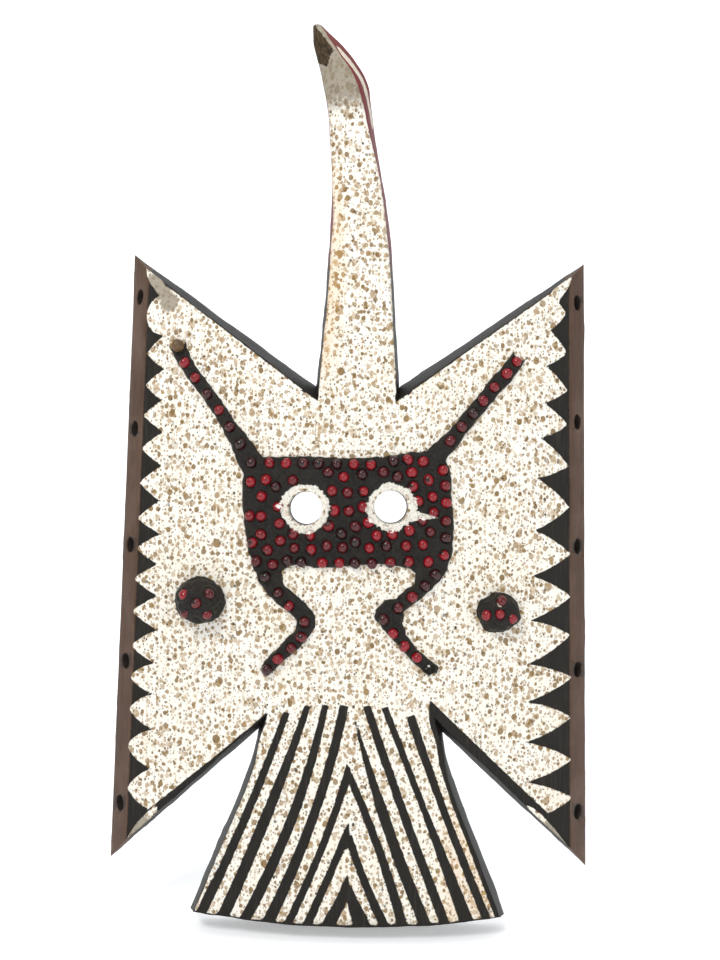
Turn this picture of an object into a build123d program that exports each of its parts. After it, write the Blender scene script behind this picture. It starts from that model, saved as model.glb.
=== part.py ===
from build123d import *
import os
from math import cos, hypot, radians, sin, sqrt

# A carved plank mask: a winged board with a tail and a long beaked neck, cut from one
# piece of wood, and a figure of black wax laid on its front and set with red seeds.
# The frame is upright: +Z up the mask, the front faces -Y, the flat back lies on y = 0.
# The origin is on the back, on the centre line where the neck grows out of the board.

os.makedirs("parts", exist_ok=True)

# ---- driving dimensions, in millimetres and degrees -----------------------------------
# the board
CENTRE_THICKNESS = 38.0  # at the crown of the vaulted front
SIDE_THICKNESS = 20.0  # where the front meets the side bevels
SIDE_HALF_WIDTH = 157.0  # from the centre line to that meeting, half way down the board
WING_TOP = (168.8, 106.0)  # x and z of the upper wing tips, on the back
WING_FOOT = (178.6, -346.6)  # x and z of the lower wing tips, on the back
NECK_NOTCH = (31.0, 10.0)  # where a wing's upper edge meets the neck
TAIL_NOTCH = (69.0, -248.0)  # where a wing's lower edge meets the tail
TAIL_WAIST = (80.0, -288.0)  # the tail's side bends here, between its two arcs
TAIL_CORNER = (118.0, -383.0)
TAIL_FOOT = -388.0  # z of the tail's lower edge on the centre line
EDGE_DRAFT = 14.0  # the sawn edges lean in towards the front by this angle
BEVEL_INSET = 16.0  # how far the side bevels run in over the side thickness
# the back
WALL = 18.0  # wood left between the back hollow and the front
HOLLOW_HALF_WIDTH = 136.0
HOLLOW_TOP = -15.0
HOLLOW_FOOT = -200.0
HOLLOW_CORNER = 30.0
# the eyes
EYES = ((-35.0, -81.0), (26.0, -79.0))
EYE_MOUTH_R = 12.3  # the eye holes narrow from front to back
EYE_THROAT_R = 11.0
EYE_DEPTH = 45.0  # from the back plane to just in front of the eyes
COLLAR_R = 14.0  # ring of wood left standing around each eye hole
# the lacing holes along the side bevels, by their height
LACE_R = 5.5
LEFT_LACES = (72.0, -25.0, -111.0, -197.0, -302.0)
RIGHT_LACES = (74.0, -14.0, -106.0, -197.0, -302.0)
# the carved border and the chevrons, sunk a little below the front
RELIEF = 1.0
LEFT_TEETH = 14
RIGHT_TEETH = 12
TEETH_TOP = 72.0
TEETH_FOOT = -300.0
LEFT_TOOTH_DEPTH = 15.0
RIGHT_TOOTH_DEPTH = 24.0
BANDS = 7  # black bands on each half of the tail
BAND_WIDTH = 7.0
BAND_TOP = -221.0
# the neck: rings from the root to the crown of the head, each a height, the centre's place,
# the width, the depth, the turn about the upright axis, and how much wider the back is than
# the front on each side
NECK_RINGS = (
    (-20.0, 0.5, -19.0, 65.0, 38.0, 0.0, 4.0),
    (10.0, 0.5, -19.0, 62.0, 38.0, 0.0, 4.0),
    (40.0, 0.8, -19.0, 57.5, 37.0, 0.0, 4.0),
    (70.0, 0.8, -19.0, 53.0, 35.5, 0.0, 4.0),
    (100.0, 0.5, -19.5, 49.0, 33.0, 0.0, 4.0),
    (126.0, -0.3, -21.0, 44.5, 31.0, 1.0, 3.7),
    (150.0, -2.4, -24.0, 39.6, 28.5, 3.0, 2.8),
    (173.0, -5.5, -29.0, 34.0, 27.0, 6.0, 1.6),
    (189.0, -7.7, -34.0, 30.6, 26.0, 10.0, 1.2),
    (205.0, -10.1, -40.5, 28.6, 25.0, 19.0, 0.8),
    (219.0, -13.6, -47.2, 27.2, 23.0, 31.0, 0.5),
    (230.0, -19.6, -52.8, 22.4, 20.0, 40.0, 0.4),
    (240.0, -26.0, -57.0, 16.8, 14.5, 45.0, 0.4),
    (250.0, -31.6, -60.3, 6.0, 5.0, 48.0, 0.2),
)
NECK_ROUND = 0.16  # corner radius as a share of the ring's depth
# the wax figure and its seeds
WAX_PROUD = 3.2
WAX_BED = 2.0  # the wax lies in a bed cut this deep into the wood
SEED_R = 3.9
SEED_SUNK = 0.3  # the seed's centre lies this far below the wax
SEED_FLAT = 2.2  # the seeds stand on a flat this far behind their centre
ARM_HALF_WIDTH = 5.4
LEG_HALF_WIDTH = 6.2
END_SEED_R = 5.0
LEFT_BOSS = (-109.0, -148.0)
LEFT_BOSS_SIZE = (16.5, 20.0)  # radius and height
RIGHT_BOSS = (104.0, -153.0)
RIGHT_BOSS_SIZE = (14.5, 11.0)
CORE_SHARE = 0.6  # a core's radius at its root, as a share of the boss's
BOSS_SKIN = 8.0  # wax over the bosses' wooden cores

# ---- where the seeds sit: x and z of each, rows from the brow down ---------------------
PANEL_ROWS = (
    ((-74, -49), (-61, -49), (-49, -49), (-37, -49), (-26, -49), (-13, -49), (-1, -49), (11, -49),
     (27, -46), (37, -45), (48, -46)),
    ((-74, -63), (-63, -61), (-44, -61), (-19, -55), (-8, -58), (5, -56), (20, -54), (30, -57),
     (40, -54), (52, -59), (62, -52)),
    ((-66, -73), (-56, -66), (-16, -68), (-5, -69), (6, -68), (41, -64), (45, -74), (55, -71), (64, -63)),
    ((-74, -87), (-66, -87), (-54, -80), (-14, -82), (-4, -82), (6, -79), (56, -82), (65, -75)),
    ((-66, -100), (-53, -92), (-43, -99), (-31, -100), (-18, -93), (-9, -98), (1, -93), (10, -90),
     (16, -99), (27, -98), (39, -95), (48, -88), (54, -96), (65, -88)),
    ((-72, -106), (-61, -111), (-52, -104), (-42, -109), (-30, -110), (-19, -107), (-8, -108), (1, -104),
     (11, -108), (23, -106), (37, -106), (49, -105), (65, -100), (64, -112)),
    ((-69, -119), (-57, -121), (-47, -118), (-37, -119), (-22, -119), (-10, -119), (1, -119), (13, -119),
     (26, -118), (39, -117), (53, -117), (-62, -130), (58, -126)),
)
LEFT_ARM_SEEDS = ((-124, 22), (-116, 11), (-107, -1), (-98, -12), (-90, -24), (-82, -36))
RIGHT_ARM_SEEDS = ((114, 27), (107, 18), (98, 8), (90, -2), (83, -11), (75, -21), (67, -31))
LEFT_LEG_SEEDS = ((-53, -141), (-45, -150), (-34, -161), (-36, -172), (-43, -180), (-52, -188), (-60, -196))
RIGHT_LEG_SEEDS = ((51, -134), (42, -142), (32, -150), (22, -158), (29, -168), (37, -177), (46, -185))
END_SEED = (-129, 34)
EMPTY_SOCKET = (55, -193)  # a seed has fallen out here
LEFT_BOSS_SEEDS = ((0, 0), (-9, 5), (8, 6), (7, -8), (-8, -7))  # from the boss's centre
RIGHT_BOSS_SEEDS = ((0, 0), (1, 9), (-9, -1), (9, -3))


# ---- shapes shared by several pieces ---------------------------------------------------
VAULT_RISE = CENTRE_THICKNESS - SIDE_THICKNESS
VAULT_R = (SIDE_HALF_WIDTH**2 + VAULT_RISE**2) / (2 * VAULT_RISE)
FULL_TOP = WING_TOP[1] + 20
FULL_FOOT = TAIL_FOOT - 20
REACH = 80.0  # deeper than anything on the front


def front_at(x):
    """The board's front: its y at a distance x from the centre line."""
    return -CENTRE_THICKNESS + VAULT_R - sqrt(VAULT_R**2 - x**2)


def vault(lift):
    """Everything behind the front surface raised by lift, over the whole board."""
    half = WING_FOOT[0] + 20
    with BuildPart() as body:
        with BuildSketch(Plane.XY.offset(FULL_FOOT)):
            with BuildLine():
                back = Polyline((-half, front_at(half) - lift), (-half, REACH), (half, REACH),
                                (half, front_at(half) - lift))
                ThreePointArc(back @ 1, (0, -CENTRE_THICKNESS - lift), back @ 0)
            make_face()
        extrude(amount=FULL_TOP - FULL_FOOT)
    return body.part


def forward_prism(sketch):
    """A sketch on the back plane carried straight forward through the mask."""
    return extrude(sketch, amount=REACH, mode=Mode.PRIVATE)


def seed_centre(x, z, lift):
    return Vector(x, front_at(x) - lift + SEED_SUNK, z)


def bevel_plane(side):
    """The plane of a side bevel, facing outwards, through the board's back edge."""
    top = Vector(side * WING_TOP[0], 0, WING_TOP[1])
    along = Vector(side * WING_FOOT[0], 0, WING_FOOT[1]) - top
    inward = Vector(-side * BEVEL_INSET, -SIDE_THICKNESS, 0)
    return Plane(origin=top, x_dir=along, z_dir=inward.cross(along) * side)


def lace_location(side, z):
    """The middle of the bevel at height z, facing outwards along the hole."""
    plane = bevel_plane(side)
    share = (WING_TOP[1] - z) / (WING_TOP[1] - WING_FOOT[1])
    edge = WING_TOP[0] + share * (WING_FOOT[0] - WING_TOP[0])
    middle = Vector(side * (edge - BEVEL_INSET / 2), -SIDE_THICKNESS / 2, z)
    return Plane(origin=middle, x_dir=plane.x_dir, z_dir=plane.z_dir)


FRONT = vault(0)
BED = vault(-WAX_BED)
WAX_FACE = vault(WAX_PROUD)

# ---- outlines on the back plane --------------------------------------------------------
with BuildSketch(Plane.XZ) as board_outline:
    with BuildLine():
        right = Polyline(NECK_NOTCH, WING_TOP, WING_FOOT, TAIL_NOTCH, TAIL_WAIST)
        flare = TangentArc(right @ 1, TAIL_CORNER, tangent=Vector(14, -42))
        foot = ThreePointArc(flare @ 1, (0, TAIL_FOOT), (-TAIL_CORNER[0], TAIL_CORNER[1]))
        mirror(right, about=Plane.YZ)
        mirror(flare, about=Plane.YZ)
        Line(NECK_NOTCH, (-NECK_NOTCH[0], NECK_NOTCH[1]))
    make_face()

with BuildSketch(Plane.XZ) as panel_outline:
    with BuildLine():
        brow = Polyline((-80, -44), (8, -43.5), (30, -40), (59, -38.5), (67, -47))
        right_side = ThreePointArc(brow @ 1, (71.5, -90), (62, -134))
        jaw = Polyline(right_side @ 1, (47, -127), (40, -123.5), (-43, -124), (-52, -128), (-66, -138))
        ThreePointArc(jaw @ 1, (-81, -83), brow @ 0)
    make_face()


def ribbon(points, half_width):
    """A strip of even width with round ends along a bent line, on the back plane."""
    with BuildSketch(Plane.XZ) as strip:
        with BuildLine():
            Polyline(*points)
            offset(amount=half_width)
        make_face()
    return strip.sketch


LEFT_ARM_LINE = ((-78, -44), (-98, -12), (-124, 23), (-129, 34))
RIGHT_ARM_LINE = ((60, -40), (98, 8), (116, 31))
LEFT_LEG_LINE = ((-58, -134), (-34, -160), (-36, -172), (-61, -196))
RIGHT_LEG_LINE = ((54, -130), (22, -157), (37, -177), (56, -193))

panel_prism = forward_prism(panel_outline.sketch)
limb_prisms = {
    "left_arm": forward_prism(ribbon(LEFT_ARM_LINE, ARM_HALF_WIDTH)) - panel_prism,
    "right_arm": forward_prism(ribbon(RIGHT_ARM_LINE, ARM_HALF_WIDTH)) - panel_prism,
    "left_leg": forward_prism(ribbon(LEFT_LEG_LINE, LEG_HALF_WIDTH)) - panel_prism,
    "right_leg": forward_prism(ribbon(RIGHT_LEG_LINE, LEG_HALF_WIDTH)) - panel_prism,
}


def boss_dome(place, size):
    """The outside of a boss: a bluff dome about a line running forward."""
    radius, height = size
    skin = front_at(place[0])
    with BuildPart() as dome:
        with BuildSketch(Plane((place[0], 0, place[1]), x_dir=(1, 0, 0), z_dir=(0, 0, 1))):
            with BuildLine():
                side = Polyline((0, 0), (radius, 0), (radius, skin - 0.15 * height))
                ThreePointArc(side @ 1, (0.72 * radius, skin - 0.82 * height), (0, skin - height))
                Line((0, skin - height), (0, 0))
            make_face()
        revolve(axis=Axis((place[0], 0, place[1]), (0, 1, 0)))
    return dome.part


def boss_core(place, size):
    """The wooden stub inside a boss."""
    radius, height = size
    root = front_at(place[0]) + WAX_BED + 3
    tall = height - BOSS_SKIN + WAX_BED + 3
    with BuildPart() as core:
        with BuildSketch(Plane((place[0], root, place[1]), x_dir=(1, 0, 0), z_dir=(0, -1, 0))):
            Circle(CORE_SHARE * radius)
        extrude(amount=tall, taper=8)
    return core.part


BOSSES = {"left_boss": (LEFT_BOSS, LEFT_BOSS_SIZE), "right_boss": (RIGHT_BOSS, RIGHT_BOSS_SIZE)}
boss_domes = {name: boss_dome(*boss) for name, boss in BOSSES.items()}
boss_cores = {name: boss_core(*boss) for name, boss in BOSSES.items()}

# ---- the carved border and chevrons, as prisms to be sunk into the front ----------------


def tooth_border(side, teeth, depth):
    """The border outside a row of pointed teeth along one side of the board."""
    pitch = (TEETH_TOP - TEETH_FOOT) / teeth
    saw = []
    for i in range(teeth + 1):
        z = TEETH_TOP - i * pitch
        share = (WING_TOP[1] - z) / (WING_TOP[1] - WING_FOOT[1])
        edge = WING_TOP[0] + share * (WING_FOOT[0] - WING_TOP[0]) - BEVEL_INSET
        saw.append((side * (edge - depth), z))
        if i < teeth:
            saw.append((side * (edge - 1.0), z - pitch / 2))
    outside = side * (WING_FOOT[0] + 10)
    with BuildSketch(Plane.XZ) as border:
        with BuildLine():
            Polyline((outside, TEETH_TOP + 12), *saw, (outside, TEETH_FOOT - 12), close=True)
        make_face()
    return border.sketch


def chevron_band(side, rank):
    """One half of a chevron: the inner ones meet on the centre line, the outer ones are cut level."""
    foot_x = 9.0 + 15.7 * rank
    foot_z = TAIL_FOOT - 5
    if rank < 3:
        top_x, top_z = 0.0, -341.0 + 42.0 * rank
    else:
        top_x, top_z = 5.0 + 13.6 * (rank - 3), BAND_TOP
    half = BAND_WIDTH / 2
    with BuildSketch(Plane.XZ) as band:
        with BuildLine():
            Polyline((side * (top_x - half), top_z), (side * (top_x + half), top_z),
                     (side * (foot_x + half), foot_z), (side * (foot_x - half), foot_z), close=True)
        make_face()
    return band.sketch


carved = [forward_prism(tooth_border(-1, LEFT_TEETH, LEFT_TOOTH_DEPTH))]
carved.append(forward_prism(tooth_border(1, RIGHT_TEETH, RIGHT_TOOTH_DEPTH)))
for side in (-1, 1):
    for rank in range(BANDS):
        carved.append(forward_prism(chevron_band(side, rank)))
RELIEF_FLOOR = vault(-RELIEF)

# ---- the board --------------------------------------------------------------------------
with BuildPart() as neck:
    for z, x, y, width, depth, turn, flare in NECK_RINGS:
        with BuildSketch(Plane((x, y, z), x_dir=(cos(radians(turn)), -sin(radians(turn)), 0), z_dir=(0, 0, 1))):
            half = width / 2
            with BuildLine():
                Polyline((-half, depth / 2), (half, depth / 2), (half - flare, -depth / 2),
                         (-half + flare, -depth / 2), close=True)
            ring_face = make_face()
            fillet(ring_face.vertices(), radius=NECK_ROUND * depth)
    loft()

with BuildPart() as eye_collars:
    with BuildSketch(Plane.XZ.offset(WALL)):
        with Locations(*EYES):
            Circle(COLLAR_R)
    extrude(amount=REACH)
    add(vault(WAX_PROUD + 0.4), mode=Mode.INTERSECT)

# the hollow at the back keeps an even wall behind the front
with BuildPart() as back_hollow:
    with BuildSketch(Plane.XZ.offset(-1)):
        with Locations((0, (HOLLOW_TOP + HOLLOW_FOOT) / 2)):
            RectangleRounded(2 * HOLLOW_HALF_WIDTH, HOLLOW_TOP - HOLLOW_FOOT, HOLLOW_CORNER)
    extrude(amount=REACH)
    add(vault(-WALL), mode=Mode.INTERSECT)

with BuildPart() as mask_board:
    extrude(board_outline.sketch, amount=REACH / 2, taper=EDGE_DRAFT)
    add(FRONT, mode=Mode.INTERSECT)
    for side in (-1, 1):
        split(bisect_by=bevel_plane(side), keep=Keep.BOTTOM)
    for shape in carved:
        add(shape - RELIEF_FLOOR, mode=Mode.SUBTRACT)
    add(neck.part)
    split(bisect_by=Plane.XZ, keep=Keep.TOP)
    for shape in (panel_prism, *limb_prisms.values(), *boss_domes.values()):
        add(shape - BED, mode=Mode.SUBTRACT)
    for core in boss_cores.values():
        add(core)
    add(eye_collars.part)
    add(back_hollow.part, mode=Mode.SUBTRACT)
    for x, z in EYES:
        with BuildSketch(Plane((x, 0, z), x_dir=(1, 0, 0), z_dir=(0, 0, 1))):
            with BuildLine():
                Polyline((0, 1), (EYE_THROAT_R, 1), (EYE_MOUTH_R, -EYE_DEPTH), (0, -EYE_DEPTH), close=True)
            make_face()
        revolve(axis=Axis((x, 0, z), (0, 1, 0)), mode=Mode.SUBTRACT)
    for side, heights in ((-1, LEFT_LACES), (1, RIGHT_LACES)):
        for z in heights:
            with BuildSketch(lace_location(side, z).offset(20)):
                Circle(LACE_R)
            extrude(amount=-REACH, mode=Mode.SUBTRACT)
mask_board.part.label = "mask_board"
export_step(mask_board.part, "parts/mask_board.step")

# ---- seeds ------------------------------------------------------------------------------


def seed_form(radius):
    """One seed: a ball with its pole forward and a small flat to stand on."""
    with BuildPart() as form:
        Sphere(radius, rotation=(-90, 0, 0))
        split(bisect_by=Plane.XZ.offset(-SEED_FLAT * radius / SEED_R), keep=Keep.TOP)
    return form.part.rotate(Axis.Y, 45)


def seed_group(centres, radius=SEED_R):
    """Seeds half sunk in the wax, one solid for each centre."""
    form = seed_form(radius)
    with BuildPart() as group:
        with Locations(*centres):
            add(form)
    return group.part


def front_seeds(places, lift=WAX_PROUD, radius=SEED_R):
    """Seeds on the figure, by x and z."""
    return seed_group([seed_centre(x, z, lift) for x, z in places], radius)


def boss_seeds(boss, offsets):
    """Seeds set into the crown of a boss, each as far out as the dome is there."""
    place, (radius, height) = BOSSES[boss]
    centres = []
    for dx, dz in offsets:
        fall = 0.45 * height * (hypot(dx, dz) / radius) ** 2
        centres.append(Vector(place[0] + dx, front_at(place[0]) - height + fall + SEED_SUNK, place[1] + dz))
    return seed_group(centres)


seed_groups = {}
for number, row in enumerate(PANEL_ROWS, start=1):
    seed_groups[f"panel_seeds_row_{number}"] = front_seeds(row)
seed_groups["left_arm_seeds"] = front_seeds(LEFT_ARM_SEEDS)
seed_groups["right_arm_seeds"] = front_seeds(RIGHT_ARM_SEEDS)
seed_groups["left_leg_seeds"] = front_seeds(LEFT_LEG_SEEDS)
seed_groups["right_leg_seeds"] = front_seeds(RIGHT_LEG_SEEDS)
seed_groups["left_boss_seeds"] = boss_seeds("left_boss", LEFT_BOSS_SEEDS)
seed_groups["right_boss_seeds"] = boss_seeds("right_boss", RIGHT_BOSS_SEEDS)
seed_groups["bare_end_seed"] = front_seeds([END_SEED], lift=WAX_PROUD + 0.8, radius=END_SEED_R)

for name, group in seed_groups.items():
    group.label = name
    export_step(group, f"parts/{name}.step")

# ---- the wax ----------------------------------------------------------------------------
wax_seeds = {
    "face_panel": [seed_groups[f"panel_seeds_row_{n}"] for n in range(1, len(PANEL_ROWS) + 1)],
    "left_arm": [seed_groups["left_arm_seeds"], seed_groups["bare_end_seed"]],
    "right_arm": [seed_groups["right_arm_seeds"]],
    "left_leg": [seed_groups["left_leg_seeds"]],
    "right_leg": [seed_groups["right_leg_seeds"], front_seeds([EMPTY_SOCKET])],
    "left_boss": [seed_groups["left_boss_seeds"]],
    "right_boss": [seed_groups["right_boss_seeds"]],
}

for name, prism in {"face_panel": panel_prism, **limb_prisms}.items():
    with BuildPart() as wax:
        add(prism & WAX_FACE)
        add(BED, mode=Mode.SUBTRACT)
        if name == "face_panel":
            for x, z in EYES:
                with BuildSketch(Plane.XZ):
                    with Locations((x, z)):
                        Circle(COLLAR_R)
                extrude(amount=REACH, mode=Mode.SUBTRACT)
        for seeds in wax_seeds[name]:
            add(seeds, mode=Mode.SUBTRACT)
    wax.part.label = f"{name}_wax"
    export_step(wax.part, f"parts/{name}_wax.step")

for name, dome in boss_domes.items():
    with BuildPart() as wax:
        add(dome)
        add(BED, mode=Mode.SUBTRACT)
        add(boss_cores[name], mode=Mode.SUBTRACT)
        for seeds in wax_seeds[name]:
            add(seeds, mode=Mode.SUBTRACT)
    wax.part.label = f"{name}_wax"
    export_step(wax.part, f"parts/{name}_wax.step")
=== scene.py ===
"""A carved plank mask with a winged board, a tail and a long beaked neck, painted white with ochre
drops, bordered with dark teeth, and bearing a figure of black wax set with red seeds.

Shapes are worked out in millimetres and put into the meshes in metres. The frame is upright: +Z up the
mask, the front faces -Y, the flat back lies on y = 0.
"""

import math

import bmesh
import bpy
import numpy as np
from bpy.props import FloatProperty, FloatVectorProperty, PointerProperty
from mathutils import Matrix


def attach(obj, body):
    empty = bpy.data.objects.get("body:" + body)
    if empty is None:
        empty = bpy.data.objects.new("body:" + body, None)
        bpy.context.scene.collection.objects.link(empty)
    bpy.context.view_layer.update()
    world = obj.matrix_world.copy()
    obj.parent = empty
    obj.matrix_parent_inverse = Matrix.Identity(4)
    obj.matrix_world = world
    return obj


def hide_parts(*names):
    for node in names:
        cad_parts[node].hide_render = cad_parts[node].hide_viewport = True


bl_info = {
    "name": "Carved plank mask",
    "version": (1, 0, 0),
    "blender": (4, 5, 0),
    "location": "3D View > Sidebar > Mask",
    "description": "Builds a painted plank mask with a wax figure and red seeds",
    "category": "Add Mesh",
}

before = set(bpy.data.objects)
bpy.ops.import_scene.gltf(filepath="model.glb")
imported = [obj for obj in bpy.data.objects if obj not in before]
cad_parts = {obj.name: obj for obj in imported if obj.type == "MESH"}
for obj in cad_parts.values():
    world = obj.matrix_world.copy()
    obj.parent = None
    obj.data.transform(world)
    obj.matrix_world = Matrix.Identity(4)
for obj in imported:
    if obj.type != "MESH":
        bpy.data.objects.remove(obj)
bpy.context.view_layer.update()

# ---- outlines, in millimetres: x and z on the back plane, right half -----------------------
WING_TOP = (168.8, 106.0)
WING_FOOT = (178.6, -346.6)
NECK_NOTCH = (31.0, 10.0)
TAIL_NOTCH = (69.0, -248.0)
TAIL_SIDE = ((69, -248), (71.5, -263), (80, -288), (97, -330), (118, -383))
TAIL_FOOT = -388.0
SIDE_HALF_WIDTH = 157.0
EYES = ((-35.0, -81.0), (26.0, -79.0))
LEFT_LACES = (72, -25, -111, -197, -302)
RIGHT_LACES = (74, -14, -106, -197, -302)
# neck rings: height, centre x and y, width, depth, turn in degrees, and how much wider the back is
NECK_RINGS = np.array((
    (-20, 0.5, -19, 65, 38, 0, 4), (10, 0.5, -19, 62, 38, 0, 4), (40, 0.8, -19, 57.5, 37, 0, 4),
    (70, 0.8, -19, 53, 35.5, 0, 4), (100, 0.5, -19.5, 49, 33, 0, 4), (126, -0.3, -21, 44.5, 31, 1, 3.7),
    (150, -2.4, -24, 39.6, 28.5, 3, 2.8), (173, -5.5, -29, 34, 27, 6, 1.6), (189, -7.7, -34, 30.6, 26, 10, 1.2),
    (205, -10.1, -40.5, 28.6, 25, 19, 0.8), (219, -13.6, -47.2, 27.2, 23, 31, 0.5),
    (230, -19.6, -52.8, 22.4, 20, 40, 0.4), (240, -26, -57, 16.8, 14.5, 45, 0.4),
    (250, -31.6, -60.3, 6, 5, 48, 0.2)))
CROWN = 250.0
TAIL_LEAN = 0.45  # the tail's sides lean in by this share of the other edges' lean
# painted teeth down the two sides: x and z of each point, from the top
LEFT_TIPS = ((-154, 55), (-153, 29), (-154, 6), (-155, -16), (-156, -40), (-157, -65), (-158, -91),
             (-159, -113), (-160, -135), (-161, -159), (-161, -184), (-162, -207), (-162, -230),
             (-163, -257), (-162, -288))
RIGHT_TIPS = ((151, 64), (152, 35), (153, 8), (154, -17), (155, -47), (156, -77), (158, -111), (159, -142),
              (159, -170), (161, -201), (161, -230), (162, -261), (163, -289))
RIGHT_VALLEYS = ((141, 74), (139, 51), (136, 25), (135, -2), (133, -27), (131, -56), (130, -94), (128, -127),
                 (127, -159), (126, -191), (126, -218), (126, -247), (126, -276), (133, -303))
# dark bands of the tail, outermost first: z of the top, then z, x and half width at three places
LEFT_BANDS = (
    (-226, (-226, -45.5, 2.6), (-295, -70.7, 3.2), (-371, -103.7, 4.0)),
    (-221, (-221, -30.5, 2.3), (-295, -56.4, 4.2), (-371, -87.3, 4.6)),
    (-220, (-220, -18, 2.3), (-295, -38, 3.9), (-371, -70.5, 4.3)),
    (-220, (-220, -4.5, 3.3), (-295, -23.6, 3.6), (-371, -53.7, 4.5)),
    (None, (-268, -1, 3.0), (-295, -9.3, 2.8), (-371, -39.2, 3.1)),
    (None, (-310, -0.8, 3.0), (-341, -13, 3.0), (-371, -25.8, 3.3)),
    (None, (-348, -0.6, 3.6), (-360, -5.2, 4.2), (-371, -10.5, 5.2)))
RIGHT_BANDS = (
    (-227, (-227, 42.5, 3.4), (-295, 67.9, 2.9), (-371, 99.5, 3.3)),
    (-221, (-221, 24, 2.6), (-295, 54.1, 2.6), (-371, 84.7, 5.2)),
    (-220, (-220, 11.3, 3.0), (-295, 38.5, 3.3), (-371, 68.5, 3.7)),
    (-231, (-231, 3.5, 0.8), (-295, 23.8, 4.1), (-371, 54, 4.6)),
    (None, (-268, -1, 3.0), (-295, 11.1, 3.0), (-371, 38.2, 3.7)),
    (None, (-310, -0.8, 3.0), (-341, 10.6, 3.0), (-371, 24.2, 3.7)),
    (None, (-348, -0.6, 3.6), (-360, 4.4, 4.4), (-371, 9.1, 6.0)))
# the wax figure: x and z along the edges of each part
PANEL_BROW = ((-80, -46), (-69, -45), (-30, -44), (8, -44), (22, -42.5), (39, -39.5), (54, -39), (65, -45))
PANEL_JAW = ((-71, -127), (-52, -129), (-50, -125), (-42, -121.5), (-28, -122.7), (33, -121), (41, -123),
             (46, -127), (65, -127))
PANEL_LEFT = ((-80, -46), (-80.3, -61), (-80.8, -75), (-79, -90), (-77, -104), (-74, -117), (-71, -127))
PANEL_RIGHT = ((65, -45), (68, -54), (69.3, -74), (71, -88), (71, -100), (70, -113), (65, -127))
LEFT_LEG_OUTER = ((-73, -112), (-68, -133), (-61.5, -142), (-54, -149), (-46, -154), (-40, -160), (-39.7, -167),
                  (-46, -173), (-53.6, -181), (-62, -190), (-65, -197))
LEFT_LEG_INNER = ((-52, -112), (-50, -134), (-44.5, -139), (-36.5, -145), (-31, -151), (-26.4, -157),
                  (-26, -165), (-30.4, -171.5), (-37, -180), (-46, -187.5), (-60, -201))
RIGHT_LEG_INNER = ((46, -110), (43, -133), (36, -138.5), (30, -144), (22.8, -144.5), (16.6, -152), (14.6, -157),
                   (20.7, -164), (29.7, -174), (38.4, -183), (49, -194), (56, -199))
RIGHT_LEG_OUTER = ((69, -110), (67, -123), (61.6, -131), (53, -139.7), (42, -148.6), (36.4, -153), (35.8, -160),
                   (38.8, -169), (47.6, -181), (57.7, -188), (62.4, -193), (61.5, -197))
LEFT_ARM = ((-70, -56), (-78, -43), (-83, -34), (-90.5, -24), (-98.7, -11), (-107, 0), (-116.5, 12), (-124, 23),
            (-130.5, 37))
LEFT_ARM_HALF = (9.5, 8.5, 6.6, 5.4, 5.0, 5.0, 5.0, 5.4, 6.4)
RIGHT_ARM = ((55, -50), (60, -38), (67.5, -31), (75, -21.6), (83, -11), (91, -1.7), (98.5, 8), (107, 18),
             (117.5, 33))
RIGHT_ARM_HALF = (9.0, 7.0, 6.0, 5.4, 5.6, 5.6, 5.8, 5.8, 5.2)
BOSSES = {"left": ((-109.0, -148.0), (16.5, 20.0)), "right": ((104.0, -153.0), (14.5, 11.0))}
BOSS_BREADTH = 1.1  # how much wider across than high the wax caps are

# patches of grime: x, z and size
DIRT_PATCHES = ((-145, 78, 9), (-152, -316, 9), (148, -318, 12), (157, -328, 9), (-137, 66, 6))

# drops of ochre and dark specks: spacing, largest radius, share of the places taken, shift of the pattern
DROP_LAYERS = ((12.0, 2.7, 0.34, (3.0, 8.0, 1.0)), (6.6, 1.95, 0.66, (31.0, 4.0, 9.0)),
               (5.0, 1.6, 0.66, (13.0, 47.0, 5.0)), (3.6, 1.15, 0.62, (5.0, 17.0, 22.0)),
               (2.4, 0.62, 0.6, (41.0, 2.0, 6.0)))
SPECK_LAYERS = ((3.4, 0.6, 0.45, (9.0, 61.0, 3.0)), (8.0, 1.0, 0.35, (23.0, 5.0, 77.0)))

# the stage: floor height in millimetres, then metres and watts
FLOOR = -389.5
PAPER_GLOW = 0.34
ROOM_LIGHT = 0.52
CAMERA_PLACE = (0.0035, -0.690, -0.060)
CAMERA_ROLL = math.radians(1.1)
HALF_VIEW = 0.36  # half the height seen at the back plane
LIGHTS = (  # name, place, size, power, tint
    ("key", (-0.65, -1.3, 1.15), 0.55, 19.0, (1.0, 0.985, 0.96)),
    ("fill", (1.3, -1.4, 0.3), 0.8, 7.0, (0.95, 0.975, 1.0)),
    ("top", (0.2, -0.35, 1.7), 1.3, 5.0, (1.0, 1.0, 1.0)))
EMPTY_SOCKET = (55.0, -193.0)
PANEL_SEED_ROWS = 7


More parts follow.
